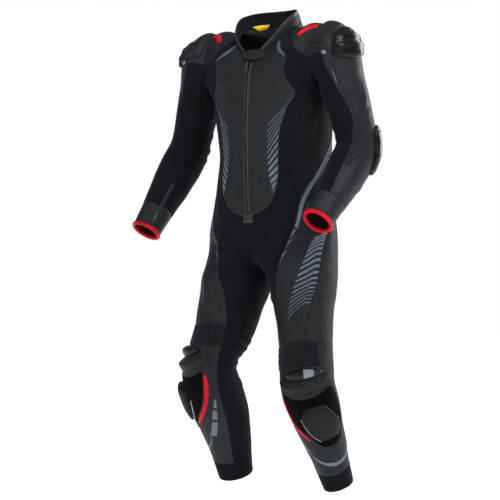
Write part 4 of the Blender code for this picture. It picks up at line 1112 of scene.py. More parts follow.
def printed(name, colour):
    """Grey ink on hide, a little worn over the grain."""
    tree, shader, where, _ = start_material(name)
    cells = grain_cells(tree, where)
    tone = noise(tree, where, 28.0, 4.0)
    base = cloudy(tree, tone, colour, 0.82, 1.14)
    base = blended(tree, ranged(tree, cells, 0.45, 0.0), base, shade(colour, 0.6))
    paint(tree, shader, base, ranged(tree, tone, 0.4, 0.55), bump(tree, cells, 0.25, 0.0002),
          Specular_IOR_Level=0.15)


def metal(name, colour, rough):
    """Brushed metal."""
    tree, shader, where, _ = start_material(name)
    brushed = noise(tree, where, 600.0, 4.0)
    base = cloudy(tree, brushed, colour, 0.7, 1.2, 0.35)
    paint(tree, shader, base, ranged(tree, brushed, rough, rough + 0.2),
          bump(tree, brushed, 0.1, 0.0002), Metallic=1.0)


def plain(name, tone):
    """Matt paint."""
    tree, shader, where, _ = start_material(name)
    base = blended(tree, noise(tree, where, 3.0), shade(tone, 0.98), tone)
    tree.links.new(base, shader.inputs["Base Color"])
    set_values(shader, Roughness=0.8, Specular_IOR_Level=0.1)
    return tree, shader


leather("hide", HIDE, 0.50)
leather("hide_holed", shade(HIDE, 1.12), 0.50, holes=0.0072)
leather("hide_sleeve", HIDE_SLEEVE, 0.46, specular=0.16)
leather("hide_pad", shade(HIDE, 0.9), 0.44, specular=0.15)
# Painted highlight: a lighter hide that stands in for light caught along the zip lips' edges; the zip
# garage and the collar's top band and rim take it too.
leather("hide_edge", (0.022, 0.024, 0.027), 0.36, specular=0.3)
leather("red", (0.52, 0.0035, 0.016), 0.42, grain=0.2, worn=1.15, specular=0.1)
stretch("knit", KNIT)
stretch("accordion", (0.0080, 0.0090, 0.0110), sheen=0.12)
stretch("lining", (0.050, 0.053, 0.060), pitch=0.0030)
stretch("collar_lining", (0.010, 0.011, 0.014), pitch=0.0030)
stretch("cuff_lining", (0.030, 0.008, 0.008), pitch=0.0020)
stretch("tape", (0.0050, 0.0052, 0.0060), pitch=0.0008)
stretch("thread", (0.014, 0.016, 0.019), pitch=0.0009, sheen=0.1)
stretch("pale_thread", (0.20, 0.22, 0.24), pitch=0.0009)
ribbed("ribbed", (0.0006, 0.0007, 0.0011), (0.014, 0.016, 0.020), 0.0062, 0.72)
ribbed("ribbed_fine", (0.0026, 0.0030, 0.0042), (0.046, 0.052, 0.064), 0.0062, 0.72)
plastic("gloss", (0.0028, 0.0028, 0.0032), 0.20, specular=0.16, coat=0.12)
plastic("puck", (0.0068, 0.0074, 0.0086), 0.42, specular=0.12, coat=0.0, scuffs=1.4)
# Painted highlight: a pale plastic for the ribbons along the knee slider's lower edges, standing in for
# glints of light on its rim.
plastic("painted_glint", (0.34, 0.35, 0.36), 0.30, specular=0.3, coat=0.2)
plastic("insert", (0.150, 0.165, 0.190), 0.36, specular=0.3, coat=0.1)
pile("velcro", (0.0020, 0.0020, 0.0023))
printed("ink", INK)
printed("ink_dim", shade(INK, 0.62))
stretch("label", (0.88, 0.56, 0.035), pitch=0.0007, sheen=0.1)
metal("dark_metal", (0.030, 0.031, 0.034), 0.34)
metal("steel", (0.13, 0.135, 0.145), 0.34)


# ---------------------------------------------------------------- the suit
SURFACE = Surface(SUBDIVISION)
FOLDS_ON = {side: [Fold(kind + "_" + side, height / 1000, width / 1000, corners)
                   for kind, height, width, corners in FOLDS] for side, _ in SIDES}


def rolled(patch, cloth):
    """How the cloth turns down into a seam, by distance from it, but not at the front's middle."""
    xs, ys = ROLL["leather" if cloth == "leather" else "stretch"]
    turn = np.interp(patch.gap, xs, ys)
    if cloth == "stretch":
        front = patch.places[:, 1] < 0.02
        turn = turn * np.where(front, np.clip(np.abs(patch.places[:, 0]) / 0.009, 0.05, 1), 1)
    return turn


def panel_lift(patch, cloth, name):
    """Height of a panel's outer face over the plain surface."""
    lift = cloth_lift(patch.chart, patch.places, SLACK[cloth]) + rolled(patch, cloth)
    if name == "knee_stretch":
        v = patch.uv[:, 1]
        low, high = patch.outline[:, 1].min(), patch.outline[:, 1].max()
        wave = np.abs(np.sin(math.pi * KNEE_RIBS * (v - low) / (high - low))) ** 0.8
        lift += KNEE_RIB_HEIGHT * wave * np.clip(patch.gap / 0.006, 0, 1)
    return lift


def build_panel(side, name):
    """One cut panel: its outer cloth, its lining and the seam that rolls under."""
    kind, edge, cloth = PANELS[name]
    chart = kind + "_" + side
    outline = panel_outline(kind, chart, edge, EDGE_SPACING)
    ribs = KNEE_RIBS if name == "knee_stretch" else None
    patch = Patch(chart, outline, GRID, EDGE_RINGS, ribs)
    lift = panel_lift(patch, cloth, name)
    wear = 0.6 * np.exp(-patch.gap / 0.005) + np.clip((lift - 0.001) / 0.004, 0, 0.8)
    top = patch.places + patch.normals * lift[:, None]
    lining = patch.places + patch.normals * (lift - rolled(patch, cloth) - CLOTH_WALL)[:, None]
    look = LOOK.get(name, CLOTH_LOOK[cloth])
    inner = "cuff_lining" if name == "forearm_outer" else "lining"
    piece = shell(f"{name}_{side}_cut", patch, top, lining, [look, inner], wear)
    slot = "leather" if cloth == "leather" else "stretch"
    dress(piece, slot, f"{name}_{side}")
    declare_cut(patch)
    return patch


def ring_faces(rings, count, closed, flip=False):
    """Quads between rings of count points, the last ring joined to the first if closed."""
    faces = []
    for ring in range(rings if closed else rings - 1):
        later = (ring + 1) % rings
        for k in range(count):
            ahead = (k + 1) % count
            quad = [ring * count + k, ring * count + ahead, later * count + ahead, later * count + k]
            faces.append(quad[::-1] if flip else quad)
    return faces


def turned_out(points, faces):
    """The faces of a closed wall, turned round if its volume comes out negative."""
    total = 0.0
    for face in faces:
        for k in range(1, len(face) - 1):
            total += points[face[0]] @ np.cross(points[face[k]], points[face[k + 1]])
    return faces if total > 0 else [face[::-1] for face in faces]


def build_tube(side, name, kind, start, end, look, slot, inner):
    """A closed band round a limb, its ends rounded over."""
    chart = kind + "_" + side
    around = LEG_COLUMNS if kind == "body" else ARM_COLUMNS
    line = np.stack([np.linspace(0, around, 200), np.full(200, (start + end) / 2)], 1)
    us = spaced(chart, line, BAND_GRID[0])[:-1, 0]
    place, _ = SURFACE.sample(chart, [(us[0], start), (us[0], end)])
    count = max(3, int(np.linalg.norm(place[1] - place[0]) / BAND_GRID[1]))
    vs = np.linspace(start, end, count)
    outer, lining = [], []
    for v in vs:
        places, normals = SURFACE.sample(chart, np.stack([us, np.full(len(us), v)], 1))
        edge = min(v - start, end - v) / (end - start)
        turn_in = BAND_END * math.exp(-edge * 14)
        lift = cloth_lift(chart, places, 0.0003) - turn_in
        outer.append(places + normals * lift[:, None])
        lining.append(places + normals * (lift + 2 * turn_in - CLOTH_WALL)[:, None])
    rings = outer + lining[::-1]
    points = np.concatenate(rings)
    across = len(us)
    faces = ring_faces(len(rings), across, True, hand_of(chart) < 0)
    piece = new_object(f"{name}_{side}_band", points, faces, [look, inner])
    index = np.zeros(len(faces), dtype=np.int32)
    index[len(outer) * across:] = 1
    piece.data.polygons.foreach_set("material_index", index)
    flat = [(BAND_GRID[0] * k, BAND_GRID[1] * row) for row in range(len(rings)) for k in range(across)]
    give_uv(piece.data, flat)
    give_wear(piece.data, np.zeros(len(points)))
    dress(piece, slot, f"{name}_{side}")


def build_cuff_roll(side):
    """The padded red ring round the cuff's mouth, open at its zip."""
    chart = "arm_" + side
    line = np.stack([np.linspace(0, ARM_COLUMNS, 240), np.full(240, CUFF_ROLL["row"])], 1)
    uv = spaced(chart, line, 0.0035)[:-1]
    places, normals = SURFACE.sample(chart, uv)
    ahead, _ = SURFACE.sample(chart, uv + (0, 0.05))
    behind, _ = SURFACE.sample(chart, uv - (0, 0.05))
    rings = []
    for k, (place, normal, forward) in enumerate(zip(places, normals, units(ahead - behind))):
        share = (uv[k][0] - CUFF_ZIP_COLUMN) / ARM_COLUMNS % 1
        away = min(share, 1 - share) * ARM_COLUMNS
        squeeze = 1 - 0.45 * math.exp(-(away / 0.10) ** 2)
        pucker = 1 + 0.035 * math.sin(2 * math.pi * k / 4.0)
        centre = place - normal * 0.0015
        ring = []
        for step in range(CUFF_ROLL["sides"]):
            angle = 2 * math.pi * step / CUFF_ROLL["sides"]
            out = CUFF_ROLL["thick"] * squeeze * pucker * math.cos(angle)
            fore = CUFF_ROLL["long"] * (0.75 + 0.25 * squeeze) * math.sin(angle)
            ring.append(centre + normal * out + forward * fore)
        rings.append(np.array(ring))
    points = np.concatenate(rings)
    faces = turned_out(points, ring_faces(len(rings), CUFF_ROLL["sides"], True))
    piece = new_object(f"cuff_roll_{side}", points, faces, ["red"])
    give_wear(piece.data, np.zeros(len(points)))
    dress(piece, "red", f"cuff_binding_{side}")


for side, _ in SIDES:
    patches = {name: build_panel(side, name) for name in PANELS}
    PATCHES[side] = patches
    build_tube(side, "hem", "body", HEM_START, HEM_ROW, "knit", "stretch", "lining")
    build_tube(side, "cuff", "arm", CUFF_START, CUFF_END, "hide_sleeve", "leather", "cuff_lining")
    build_cuff_roll(side)


# ---------------------------------------------------------------- ribbons, print and stitches
# Print: bars between an inner path and a seam, and bands with their half widths.
INK_HIGH = 0.0004
COLLAR_INK = (0.0026, 0.0056, 0.0062, 0.0050, 0.0014)
# Bands beside the hip seam: rows from and to, shares of the way, distances there, half widths.
HIP_BANDS = (
    (5.45, 8.7, (0, 0.4, 1), (0.004, 0.009, 0.009), (0.0008, 0.0026, 0.0062, 0.0070, 0.0066, 0.0052)),
    (5.3, 6.6, (0, 1), (0.012, 0.019), (0.0007, 0.0012, 0.0010, 0.0005)),
)
SHIELD_BARS = 13
SHIELD_INNER = ((1.12, 4.92), (1.18, 5.5), (1.2, 6.1), (1.26, 6.75), (1.5, 7.4))
HIP_PIECES = ((8.72, 9.42), (9.34, 9.98), (9.92, 10.55))
THIGH_BARS = 16
THIGH_INNER = ((4.15, 9.32), (3.62, 9.86), (3.12, 10.28), (2.62, 10.72), (2.2, 11.25), (1.7, 11.9),
               (1.25, 12.45), (0.9, 12.95))
SHIN_INNER = ((12.40, 17.18), (12.62, 17.6), (12.88, 17.98), (13.35, 18.42))
SHIN_OUTER = ((12.50, 17.12), (12.92, 17.52), (13.30, 17.92), (13.92, 18.38))
SHIN_PIECES = ((0.0, 0.24), (0.31, 0.58), (0.65, 1.0))
CHEVRON = ((-0.05, 18.3), (0.1, 18.58), (0.75, 18.8), (1.6, 18.95), (2.7, 19.02), (3.75, 18.97),
           (4.4, 18.86), (4.9, 18.65))
CHEVRON_WIDTHS = (0.0006, 0.0020, 0.0036, 0.0050, 0.0058, 0.0056, 0.0046, 0.0020)
STITCH = {"pitch": 0.0038, "long": 0.0027, "wide": 0.0007, "high": 0.0005}
BOTH_ROWS = (0.0026, 0.0056)
ONE_ROW = (0.0028,)
# Which seams of which panels are topstitched, and how deep each row lies.
STITCHED = {
    "front_shield": {"shield": ONE_ROW, "neck and shoulder": ONE_ROW},
    "yoke": {"yoke": ONE_ROW, "armhole front": ONE_ROW},
    "back_upper": {"waist": BOTH_ROWS, "hip": ONE_ROW, "armhole back": ONE_ROW,
                   "centre back": ONE_ROW},
    "hip_outer": {"waist": ONE_ROW, "back leg": ONE_ROW, "knee top": ONE_ROW, "thigh": BOTH_ROWS,
                  "print top": ONE_ROW, "hip": ONE_ROW, "centre back": ONE_ROW},
    "thigh_front": {"knee top": ONE_ROW, "hip": ONE_ROW, "thigh": ONE_ROW},
    "shin": {"knee bottom": BOTH_ROWS, "knee top": ONE_ROW, "calf": ONE_ROW, "hem": ONE_ROW,
             "hip": ONE_ROW},
    "sleeve_outer": {"armhole": ONE_ROW, "sleeve back": ONE_ROW, "elbow top": BOTH_ROWS,
                     "sleeve front": ONE_ROW},
    "forearm_outer": {"elbow top": ONE_ROW, "sleeve back": ONE_ROW, "wrist": BOTH_ROWS,
                      "sleeve front": ONE_ROW, "forearm": ONE_ROW},
}


def grid_faces(rows, columns, count):
    """A closed thin wall between two grids of points, top first."""
    cell = np.arange(rows * columns).reshape(rows, columns)
    a, b, c, d = cell[:-1, :-1], cell[:-1, 1:], cell[1:, 1:], cell[1:, :-1]
    top = np.stack([a, b, c, d], -1).reshape(-1, 4)
    rim = np.concatenate([cell[0, :], cell[1:, -1], cell[-1, -2::-1], cell[-2:0:-1, 0]])
    ahead = np.roll(rim, -1)
    sides = np.stack([ahead, rim, rim + count, ahead + count], 1)
    return np.concatenate([top, top[:, ::-1] + count, sides])


def join(parts):
    """Several meshes of (points, faces) as one."""
    points, faces, shift = [], [], 0
    for some, theirs in parts:
        points.append(np.asarray(some))
        faces.extend([int(corner) + shift for corner in face] for face in theirs)
        shift += len(some)
    return np.concatenate(points), faces


def wall_on(chart, uv, top, bottom):
    """A thin wall on the cloth over a grid of addresses, with its top and bottom heights."""
    rows, columns = uv.shape[:2]
    flat = uv.reshape(-1, 2)
    places, normals = SURFACE.sample(chart, flat)
    height = cloth_lift(chart, places)
    upper = places + normals * (height + np.broadcast_to(top, (rows, columns)).reshape(-1))[:, None]
    lower = places + normals * (height + bottom)[:, None]
    faces = grid_faces(rows, columns, rows * columns)
    a, b, c = upper[faces[0][0]], upper[faces[0][1]], upper[faces[0][2]]
    if np.cross(b - a, c - a) @ normals[0] < 0:
        faces = faces[:, ::-1]
    return np.concatenate([upper, lower]), faces


def along(path, share):
    """Addresses at shares of the way along a path of addresses."""
    path = np.asarray(path, dtype=float)
    where = np.linspace(0, 1, len(path))
    return np.stack([np.interp(share, where, path[:, k]) for k in (0, 1)], -1)


def bar(chart, inner, outer, start, end, bend=1.0, lift=0.0004):
    """Print between two paths, over a stretch of both."""
    size, _ = SURFACE.sample(chart, [along(inner, (start + end) / 2), along(outer, (start + end) / 2),
                                     along(inner, start), along(inner, end)])
    columns = max(3, int(np.linalg.norm(size[1] - size[0]) / 0.004) + 1)
    rows = max(2, int(np.linalg.norm(size[3] - size[2]) / 0.004) + 1)
    s = np.linspace(start, end, rows)[:, None]
    x = np.linspace(0, 1, columns)[None, :]
    a, b = along(inner, s[:, 0])[:, None, :], along(outer, s[:, 0])[:, None, :]
    uv = a * (1 - x[..., None]) + b * x[..., None]
    uv[..., 1] = a[..., 1] + (b[..., 1] - a[..., 1]) * np.minimum(x / bend, 1)
    return wall_on(chart, uv, lift, -0.0002)


def offset_path(chart, line, distance, turn=1):
    """A line of addresses moved sideways along the surface."""
    places, normals = SURFACE.sample(chart, line)
    tangent = np.gradient(places, axis=0)
    side = units(np.cross(normals, tangent) * turn * hand_of(chart))
    return SURFACE.moved(chart, line, side * np.asarray(distance).reshape(-1, 1)), side


def ribbon(chart, line, half, height, columns=5, crown=0.0, base=-0.0003, spacing=0.004):
    """A strip on the cloth along addresses; half and height are arrays or numbers."""
    line = spaced(chart, np.asarray(line, dtype=float), spacing)
    share = np.linspace(0, 1, len(line))
    half = np.interp(share, np.linspace(0, 1, len(half)), half) if np.ndim(half) else half + share * 0
    _, side = offset_path(chart, line, 0)
    across = np.linspace(-1, 1, columns)
    uv = np.stack([SURFACE.moved(chart, line, side * (half * x)[:, None]) for x in across], 1)
    top = height + crown * (1 - across ** 2)
    edge = np.where(np.abs(across) > 0.99, 0.45, 1.0)
    return wall_on(chart, uv, top * edge, base)


def add_print(name, parts, look="ink"):
    """Ribbons and bars joined as one printed piece."""
    points, faces = join(parts)
    piece = new_object(name, points, faces, [look])
    return dress(piece, "leather")


def seam_path(chart, name, start, end):
    """A stretch of a seam as addresses, for print beside it."""
    return seam_line(chart.split("_")[0], name, start, end, 0, 30)


def print_suit(side):
    """The grey print of one side: bars on chest and thigh, tapering bands on collar and hip."""
    body = "body_" + side
    edge = seam_path(body, "shield", 3.86, 7.35) - (0.10, 0)
    parts = []
    for k in range(SHIELD_BARS):
        s = (k + 0.5) / SHIELD_BARS
        half = (0.006 + 0.021 * s ** 1.4) * 15 / SHIELD_BARS
        parts.append(bar(body, SHIELD_INNER, edge, s - half, s + half))
    add_print("print_shield_" + side, parts)

    line, _ = offset_path(body, seam_path(body, "shield", 0.22, 1.5), 0.0066)
    add_print("print_collar_" + side, [ribbon(body, line, COLLAR_INK, INK_HIGH)], "ink_dim")

    parts = []
    for start, end, shares, offsets, widths in HIP_BANDS:
        hip = seam_path(body, "hip", start, end)
        depths = np.interp(np.linspace(0, 1, len(hip)), shares, offsets)
        line, _ = offset_path(body, hip, depths, -1)
        parts.append(ribbon(body, line, widths, INK_HIGH))
    for first, last in HIP_PIECES:
        inner, _ = offset_path(body, seam_path(body, "hip", first + 0.22, last), 0.0035, -1)
        wide = np.linspace(0.0125, 0.0065, 30)
        outer, _ = offset_path(body, seam_path(body, "hip", first, last - 0.30), wide, -1)
        parts.append(bar(body, inner, outer, 0, 1))
    add_print("print_hip_" + side, parts)

    parts = []
    edge = seam_path(body, "thigh", 9.05, 12.25) - (0.14, 0)
    for k in range(THIGH_BARS):
        s = (k + 0.5) / THIGH_BARS
        half = (0.029 - 0.0235 * s ** 0.75) * 14 / THIGH_BARS
        parts.append(bar(body, THIGH_INNER, edge, s - half, s + half, bend=0.8))
    add_print("print_thigh_" + side, parts)

    parts = [bar(body, SHIN_INNER, SHIN_OUTER, first, last) for first, last in SHIN_PIECES]
    parts.append(ribbon(body, smooth_path(CHEVRON, 6), CHEVRON_WIDTHS, INK_HIGH))
    add_print("print_shin_" + side, parts)


BOX_FACES = [[4, 5, 6, 7], [3, 2, 1, 0], [0, 1, 5, 4], [1, 2, 6, 5], [2, 3, 7, 6], [3, 0, 4, 7]]
BOX_CORNERS = ((-1, -1), (1, -1), (1, 1), (-1, 1))


def stitch_boxes(chart, line):
    """Stitches along addresses, each a small raised block."""
    line = spaced(chart, line, STITCH["pitch"])
    places, normals = SURFACE.sample(chart, line)
    whole = ~np.isnan(places).any(axis=1)
    line, places, normals = line[whole], places[whole], normals[whole]
    if len(line) < 3:
        return None
    places = places + normals * (cloth_lift(chart, places) + 0.0002)[:, None]
    tangent = units(np.gradient(places, axis=0))
    side = np.cross(normals, tangent)
    corners = []
    for lift in (-0.0003, STITCH["high"]):
        for x, y in BOX_CORNERS:
            shrink = 0.8 if lift > 0 else 1.0
            corners.append(places + tangent * x * STITCH["long"] / 2 * shrink
                           + side * y * STITCH["wide"] / 2 * shrink + normals * lift)
    points = np.stack(corners, 1).reshape(-1, 3)
    base = np.arange(len(places))[:, None, None] * 8
    faces = (np.array(BOX_FACES)[None] + base).reshape(-1, 4)
    return points, faces


def stitch_side(side):
    """The topstitching of one side's leather, as one piece."""
    parts = []
    for name, seams in STITCHED.items():
        kind, edge, _ = PANELS[name]
        chart = kind + "_" + side
        outline = PATCHES[side][name].outline
        turn = panel_turn(name) if signed_area(outline) > 0 else -panel_turn(name)
        for seam, start, end, shift in edge:
            line = seam_line(kind, seam, start, end, shift, 8 + int(16 * abs(end - start)))
            for depth in seams.get(seam, ()):
                moved, _ = offset_path(chart, line, depth, turn)
                moved = moved[~np.isnan(moved).any(axis=1)]
                gap, _ = gap_to(PATCHES[side][name].rim, SURFACE.sample(chart, moved)[0])
                moved = moved[(gap > depth * 0.8) & inside(outline, moved)]
                if len(moved) > 4:
                    found = stitch_boxes(chart, moved)
                    if found:
                        parts.append(found)
    points, faces = join(parts)
    piece = new_object("stitching_" + side, points, faces, ["thread"])
    dress(piece, "leather")


def panel_turn(name):
    """1 where the panel's edge table runs counter-clockwise in (u, v), else -1."""
    kind, edge, _ = PANELS[name]
    corners = [seam_line(kind, seam, start, end, shift, 12)[:-1] for seam, start, end, shift in edge]
    return 1 if signed_area(np.concatenate(corners)) > 0 else -1


for side, _ in SIDES:
    print_suit(side)
    stitch_side(side)


# ---------------------------------------------------------------- pads, cups and sliders
# Raised pieces: the corners of the rim as (u, v), and the height by distance from the rim.
ARMOUR_EDGE = 0.0034
KNEE_PAD = {
    "kind": "body", "look": "hide_pad", "slot": "pad", "seat": 0.0, "grid": 0.0040,
    "corners": ((-0.9, 15.46), (-0.1, 15.5), (0.6, 15.7), (1.6, 15.78), (2.6, 15.72), (3.3, 15.52),
                (3.9, 15.46), (3.75, 15.82), (3.2, 16.06), (2.2, 16.22), (1.2, 16.24), (0.2, 16.14),
                (-0.6, 15.88)),
    "profile": ((0, 0.0010), (0.0007, 0.0030), (0.0018, 0.0044), (0.0035, 0.0054), (0.0046, 0.0059),
                (0.0055, 0.0064), (0.0064, 0.0072), (0.0084, 0.0088), (0.0100, 0.0100),
                (0.0110, 0.0106), (0.0120, 0.0112), (0.0140, 0.0124), (0.0165, 0.0136),
                (0.0190, 0.0146), (0.025, 0.0160))}
PAD_CHANNELS = (0.0055, 0.0110, 0.0165)
PAD_GROOVE = 0.0016
KNEE_CUP = {
    "kind": "body", "look": "gloss", "slot": "gloss", "seat": 0.0, "grid": 0.0038,
    "corners": ((-0.1, 15.3), (0.7, 15.1), (1.6, 15.05), (2.6, 15.12), (3.3, 15.35), (2.6, 15.56),
                (1.6, 15.64), (0.7, 15.56)),
    "profile": ((0, 0.0012), (0.0006, 0.0045), (0.0016, 0.0062), (0.0030, 0.0070), (0.0042, 0.0074),
                (0.0050, 0.0094), (0.0066, 0.0108), (0.0100, 0.0130), (0.016, 0.0158))}
KNEE_INSERT = ((1.72, 15.14), (2.4, 15.18), (2.5, 15.52), (1.72, 15.58))
VELCRO = ((-0.62, 16.18), (0.3, 16.36), (1.2, 16.44), (2.2, 16.42), (3.2, 16.30), (4.1, 16.14),
          (4.7, 16.9), (4.6, 17.7), (3.9, 18.2), (2.8, 18.34), (1.75, 18.26), (1.1, 17.98),
          (0.4, 17.68), (-0.22, 17.36), (-0.6, 16.98), (-0.72, 16.56))
KNEE_SLIDER = {
    "kind": "body", "look": "puck", "slot": "gloss", "seat": 0.0022, "grid": 0.0042,
    "corners": ((0.96, 17.3), (1.0, 17.0), (1.3, 16.8), (2.0, 16.76), (2.75, 16.78), (3.02, 16.92),
                (3.48, 17.24), (3.93, 17.66), (3.86, 17.84), (3.5, 17.98), (2.4, 18.03),
                (1.8, 17.98), (1.16, 17.70)),
    "profile": ((0, 0.0008), (0.0006, 0.0066), (0.0014, 0.0100), (0.0028, 0.0122), (0.0050, 0.0136),
                (0.0074, 0.0142), (0.0082, 0.0124), (0.0096, 0.0122), (0.0104, 0.0148),
                (0.0120, 0.0156), (0.020, 0.0168))}
# Paths of pale ribbons along the knee slider's lower edges: a painted highlight, standing in for glints
# on its rim.
PUCK_GLINTS = (((0.66, 17.16), (0.82, 17.50), (1.12, 17.80), (1.75, 18.06)),
              ((3.98, 17.50), (3.92, 17.80), (3.50, 18.06)))
SHOULDER_CUP = {
    "kind": "arm", "look": "gloss", "slot": "gloss", "seat": 0.0, "grid": 0.0024,
    "corners": ((3.45, 1.38), (3.85, 1.02), (4.35, 0.80), (5.0, 0.74), (5.8, 0.82), (6.35, 1.15),
                (6.0, 1.6), (4.9, 1.75), (4.0, 1.64), (3.5, 1.52)),
    "profile": ((0, 0.0015), (0.0007, 0.0055), (0.0018, 0.0078), (0.0035, 0.0092), (0.0060, 0.0106),
                (0.0100, 0.0122), (0.018, 0.0140))}
CUP_RIDGES = {"first": 0.86, "pitch": 0.26, "count": 3, "height": 0.0030}
SHOULDER_PAD = {
    "kind": "arm", "look": "hide_pad", "slot": "pad", "seat": 0.0, "grid": 0.0045,
    "corners": ((2.98, 1.02), (3.05, 0.5), (3.5, 0.16), (4.3, 0.05), (5.2, 0.06), (6.0, 0.25),
                (6.2, 0.62), (5.8, 0.76), (5.0, 0.68), (4.35, 0.74), (3.85, 0.96), (3.4, 1.30),
                (3.05, 1.26)),
    "profile": ((0, 0.0006), (0.0008, 0.0026), (0.0020, 0.0042), (0.0045, 0.0064), (0.0090, 0.0090),
                (0.0150, 0.0112), (0.022, 0.0124))}
SHOULDER_TAB = ((2.86, 1.02), (3.16, 1.14), (3.04, 1.28), (2.78, 1.14))
ELBOW_SLIDER = {
    "kind": "arm", "look": "gloss", "slot": "gloss", "seat": 0.0, "grid": 0.0032,
    "corners": ((5.1, 4.6), (5.6, 4.2), (6.3, 4.2), (6.8, 4.7), (6.9, 5.5), (6.5, 6.2), (5.8, 6.2),
                (5.2, 5.5)),
    "profile": ((0, 0.0012), (0.0006, 0.0045), (0.0016, 0.0062), (0.0030, 0.0072), (0.0070, 0.0092),
                (0.015, 0.0116))}
# Lines: the strip's middle as (u, v), and its half widths along it.
RED_BAND = ((2.88, 0.64), (3.1, 0.54), (3.35, 0.46), (3.6, 0.41), (3.86, 0.38))
RED_BAND_WIDTHS = (0.0074, 0.0086, 0.0090, 0.0090, 0.0084)
PIPING = ((-0.9, 16.26), (-1.0, 16.6), (-0.9, 17.0), (-0.5, 17.4), (0.1, 17.72), (0.72, 17.98))
PIPING_WIDTHS = (0.0040, 0.0064, 0.0066, 0.0064, 0.0062, 0.0060, 0.0056, 0.0050, 0.0036)
SEAM_ARCS = (
    ("arm", ((2.75, 1.38), (3.12, 2.12), (3.5, 2.5), (3.75, 2.62), (4.5, 2.5))),
    ("body", ((-0.55, 15.08), (-1.05, 15.35), (-1.45, 15.8), (-1.68, 16.3), (-1.78, 16.8))),
    ("body", ((-0.7, 15.2), (-1.08, 15.7), (-1.32, 16.25), (-1.48, 16.75), (-1.58, 17.2))),
)
SLEEVE_MARK = ((3.12, 1.75), (3.16, 1.98), (3.2, 2.2))
MARK_WIDTHS = (0.0003, 0.0008, 0.0003)


def loop_patch(chart, corners, spacing, rings, round_off=True):
    """A patch inside a loop of corners, joined by a smooth curve or by straight sides."""
    corners = np.array(corners, dtype=float)
    line = smooth_loop(corners, 6) if round_off else corners
    line = np.concatenate([line, line[:1]])
    if not round_off:
        sides = [along(line[k:k + 2], np.arange(8) / 8) for k in range(len(corners))]
        line = np.concatenate(sides + [line[:1]])
    return Patch(chart, spaced(chart, line, ARMOUR_EDGE)[:-1], spacing, rings)


def profile_rings(profile):
    """Distances from the rim at which a profile needs points."""
    return tuple(gap for gap, _ in profile[1:] if gap > 0.0005)


def raised(name, side, spec, *nodes, extra=None):
    """A moulded or padded piece on the cloth, its height worked out from its rim inwards."""
    chart = spec["kind"] + "_" + side
    patch = loop_patch(chart, spec["corners"], spec["grid"], profile_rings(spec["profile"]))
    gaps, heights = zip(*spec["profile"])
    lift = np.interp(patch.gap, gaps, heights)
    if extra is not None:
        lift = extra(patch, lift)
    rest = cloth_lift(chart, patch.places) + spec["seat"]
    top = patch.places + patch.normals * (rest + lift)[:, None]
    bottom = patch.places + patch.normals * (rest - 0.0003)[:, None]
    wear = np.exp(-np.abs(patch.gap - 0.003) / 0.002) * 0.7
    piece = shell(f"{name}_{side}", patch, top, bottom, [spec["look"]], wear)
    dress(piece, spec["slot"], *nodes)
    return piece, patch


def on_piece(patch, spec, chart, uv):
    """Height of a raised piece over the plain surface at addresses on it."""
    places, _ = SURFACE.sample(chart, uv)
    gap, _ = gap_to(patch.rim, places)
    gaps, heights = zip(*spec["profile"])
    return np.interp(gap, gaps, heights) + spec["seat"]


def quilted(patch, lift):
    """Stitched channels that follow the pad's rim."""
    for channel in PAD_CHANNELS:
        lift = lift - PAD_GROOVE * np.exp(-((patch.gap - channel) / 0.0009) ** 2)
    return lift


def louvred(patch, lift):
    """Stepped ridges across the shoulder cup."""
    v = patch.uv[:, 1] + 0.05 * np.abs(patch.uv[:, 0] - 4.9)
    steps = (v - CUP_RIDGES["first"]) / CUP_RIDGES["pitch"]
    wave = (0.5 - 0.5 * np.cos(2 * math.pi * steps)) ** 0.7
    wave = wave * ((steps > 0) & (steps < CUP_RIDGES["count"]))
    inward = np.clip((patch.gap - 0.003) / 0.004, 0, 1)
    return lift - CUP_RIDGES["height"] * wave * inward


def tapered(patch, lift):
    """The knee slider is thick at its top and thin at its foot."""
    v = patch.uv[:, 1]
    low, high = v.min(), v.max()
    share = (v - low) / (high - low)
    return lift * (1.2 - 0.45 * share)


def grooved(patch, lift):
    """Lengthwise grooves in the elbow slider."""
    u = (patch.uv[:, 0] - 6.0) / 0.42
    wave = np.abs((u + 0.5) % 1 - 0.5) * 2
    cut = np.clip((0.32 - wave) / 0.2, 0, 1) * np.clip((patch.gap - 0.004) / 0.003, 0, 1)
    return lift - 0.0016 * cut


def flat_patch(name, chart, corners, look, slot, top, bottom, nodes=(), round_off=False, sheet=True):
    """A flat field or tab on the cloth, a little lower at its rim."""
    patch = loop_patch(chart, corners, 0.004, (0.0008,), round_off)
    rest = cloth_lift(chart, patch.places)
    height = np.where(patch.gap < 0.0004, top * 0.7, top)
    piece = shell(name, patch, patch.places + patch.normals * (rest + height)[:, None],
                  patch.places + patch.normals * (rest + bottom)[:, None], [look])
    dress(piece, slot, *nodes)
    if sheet:
        declare_cut(patch)
    return piece


def add_joined(name, parts, look, slot, *nodes):
    """Several walls joined as one finished piece."""
    points, faces = join(parts)
    piece = new_object(name, points, faces, [look])
    give_wear(piece.data, np.zeros(len(points)))
    return dress(piece, slot, *nodes)


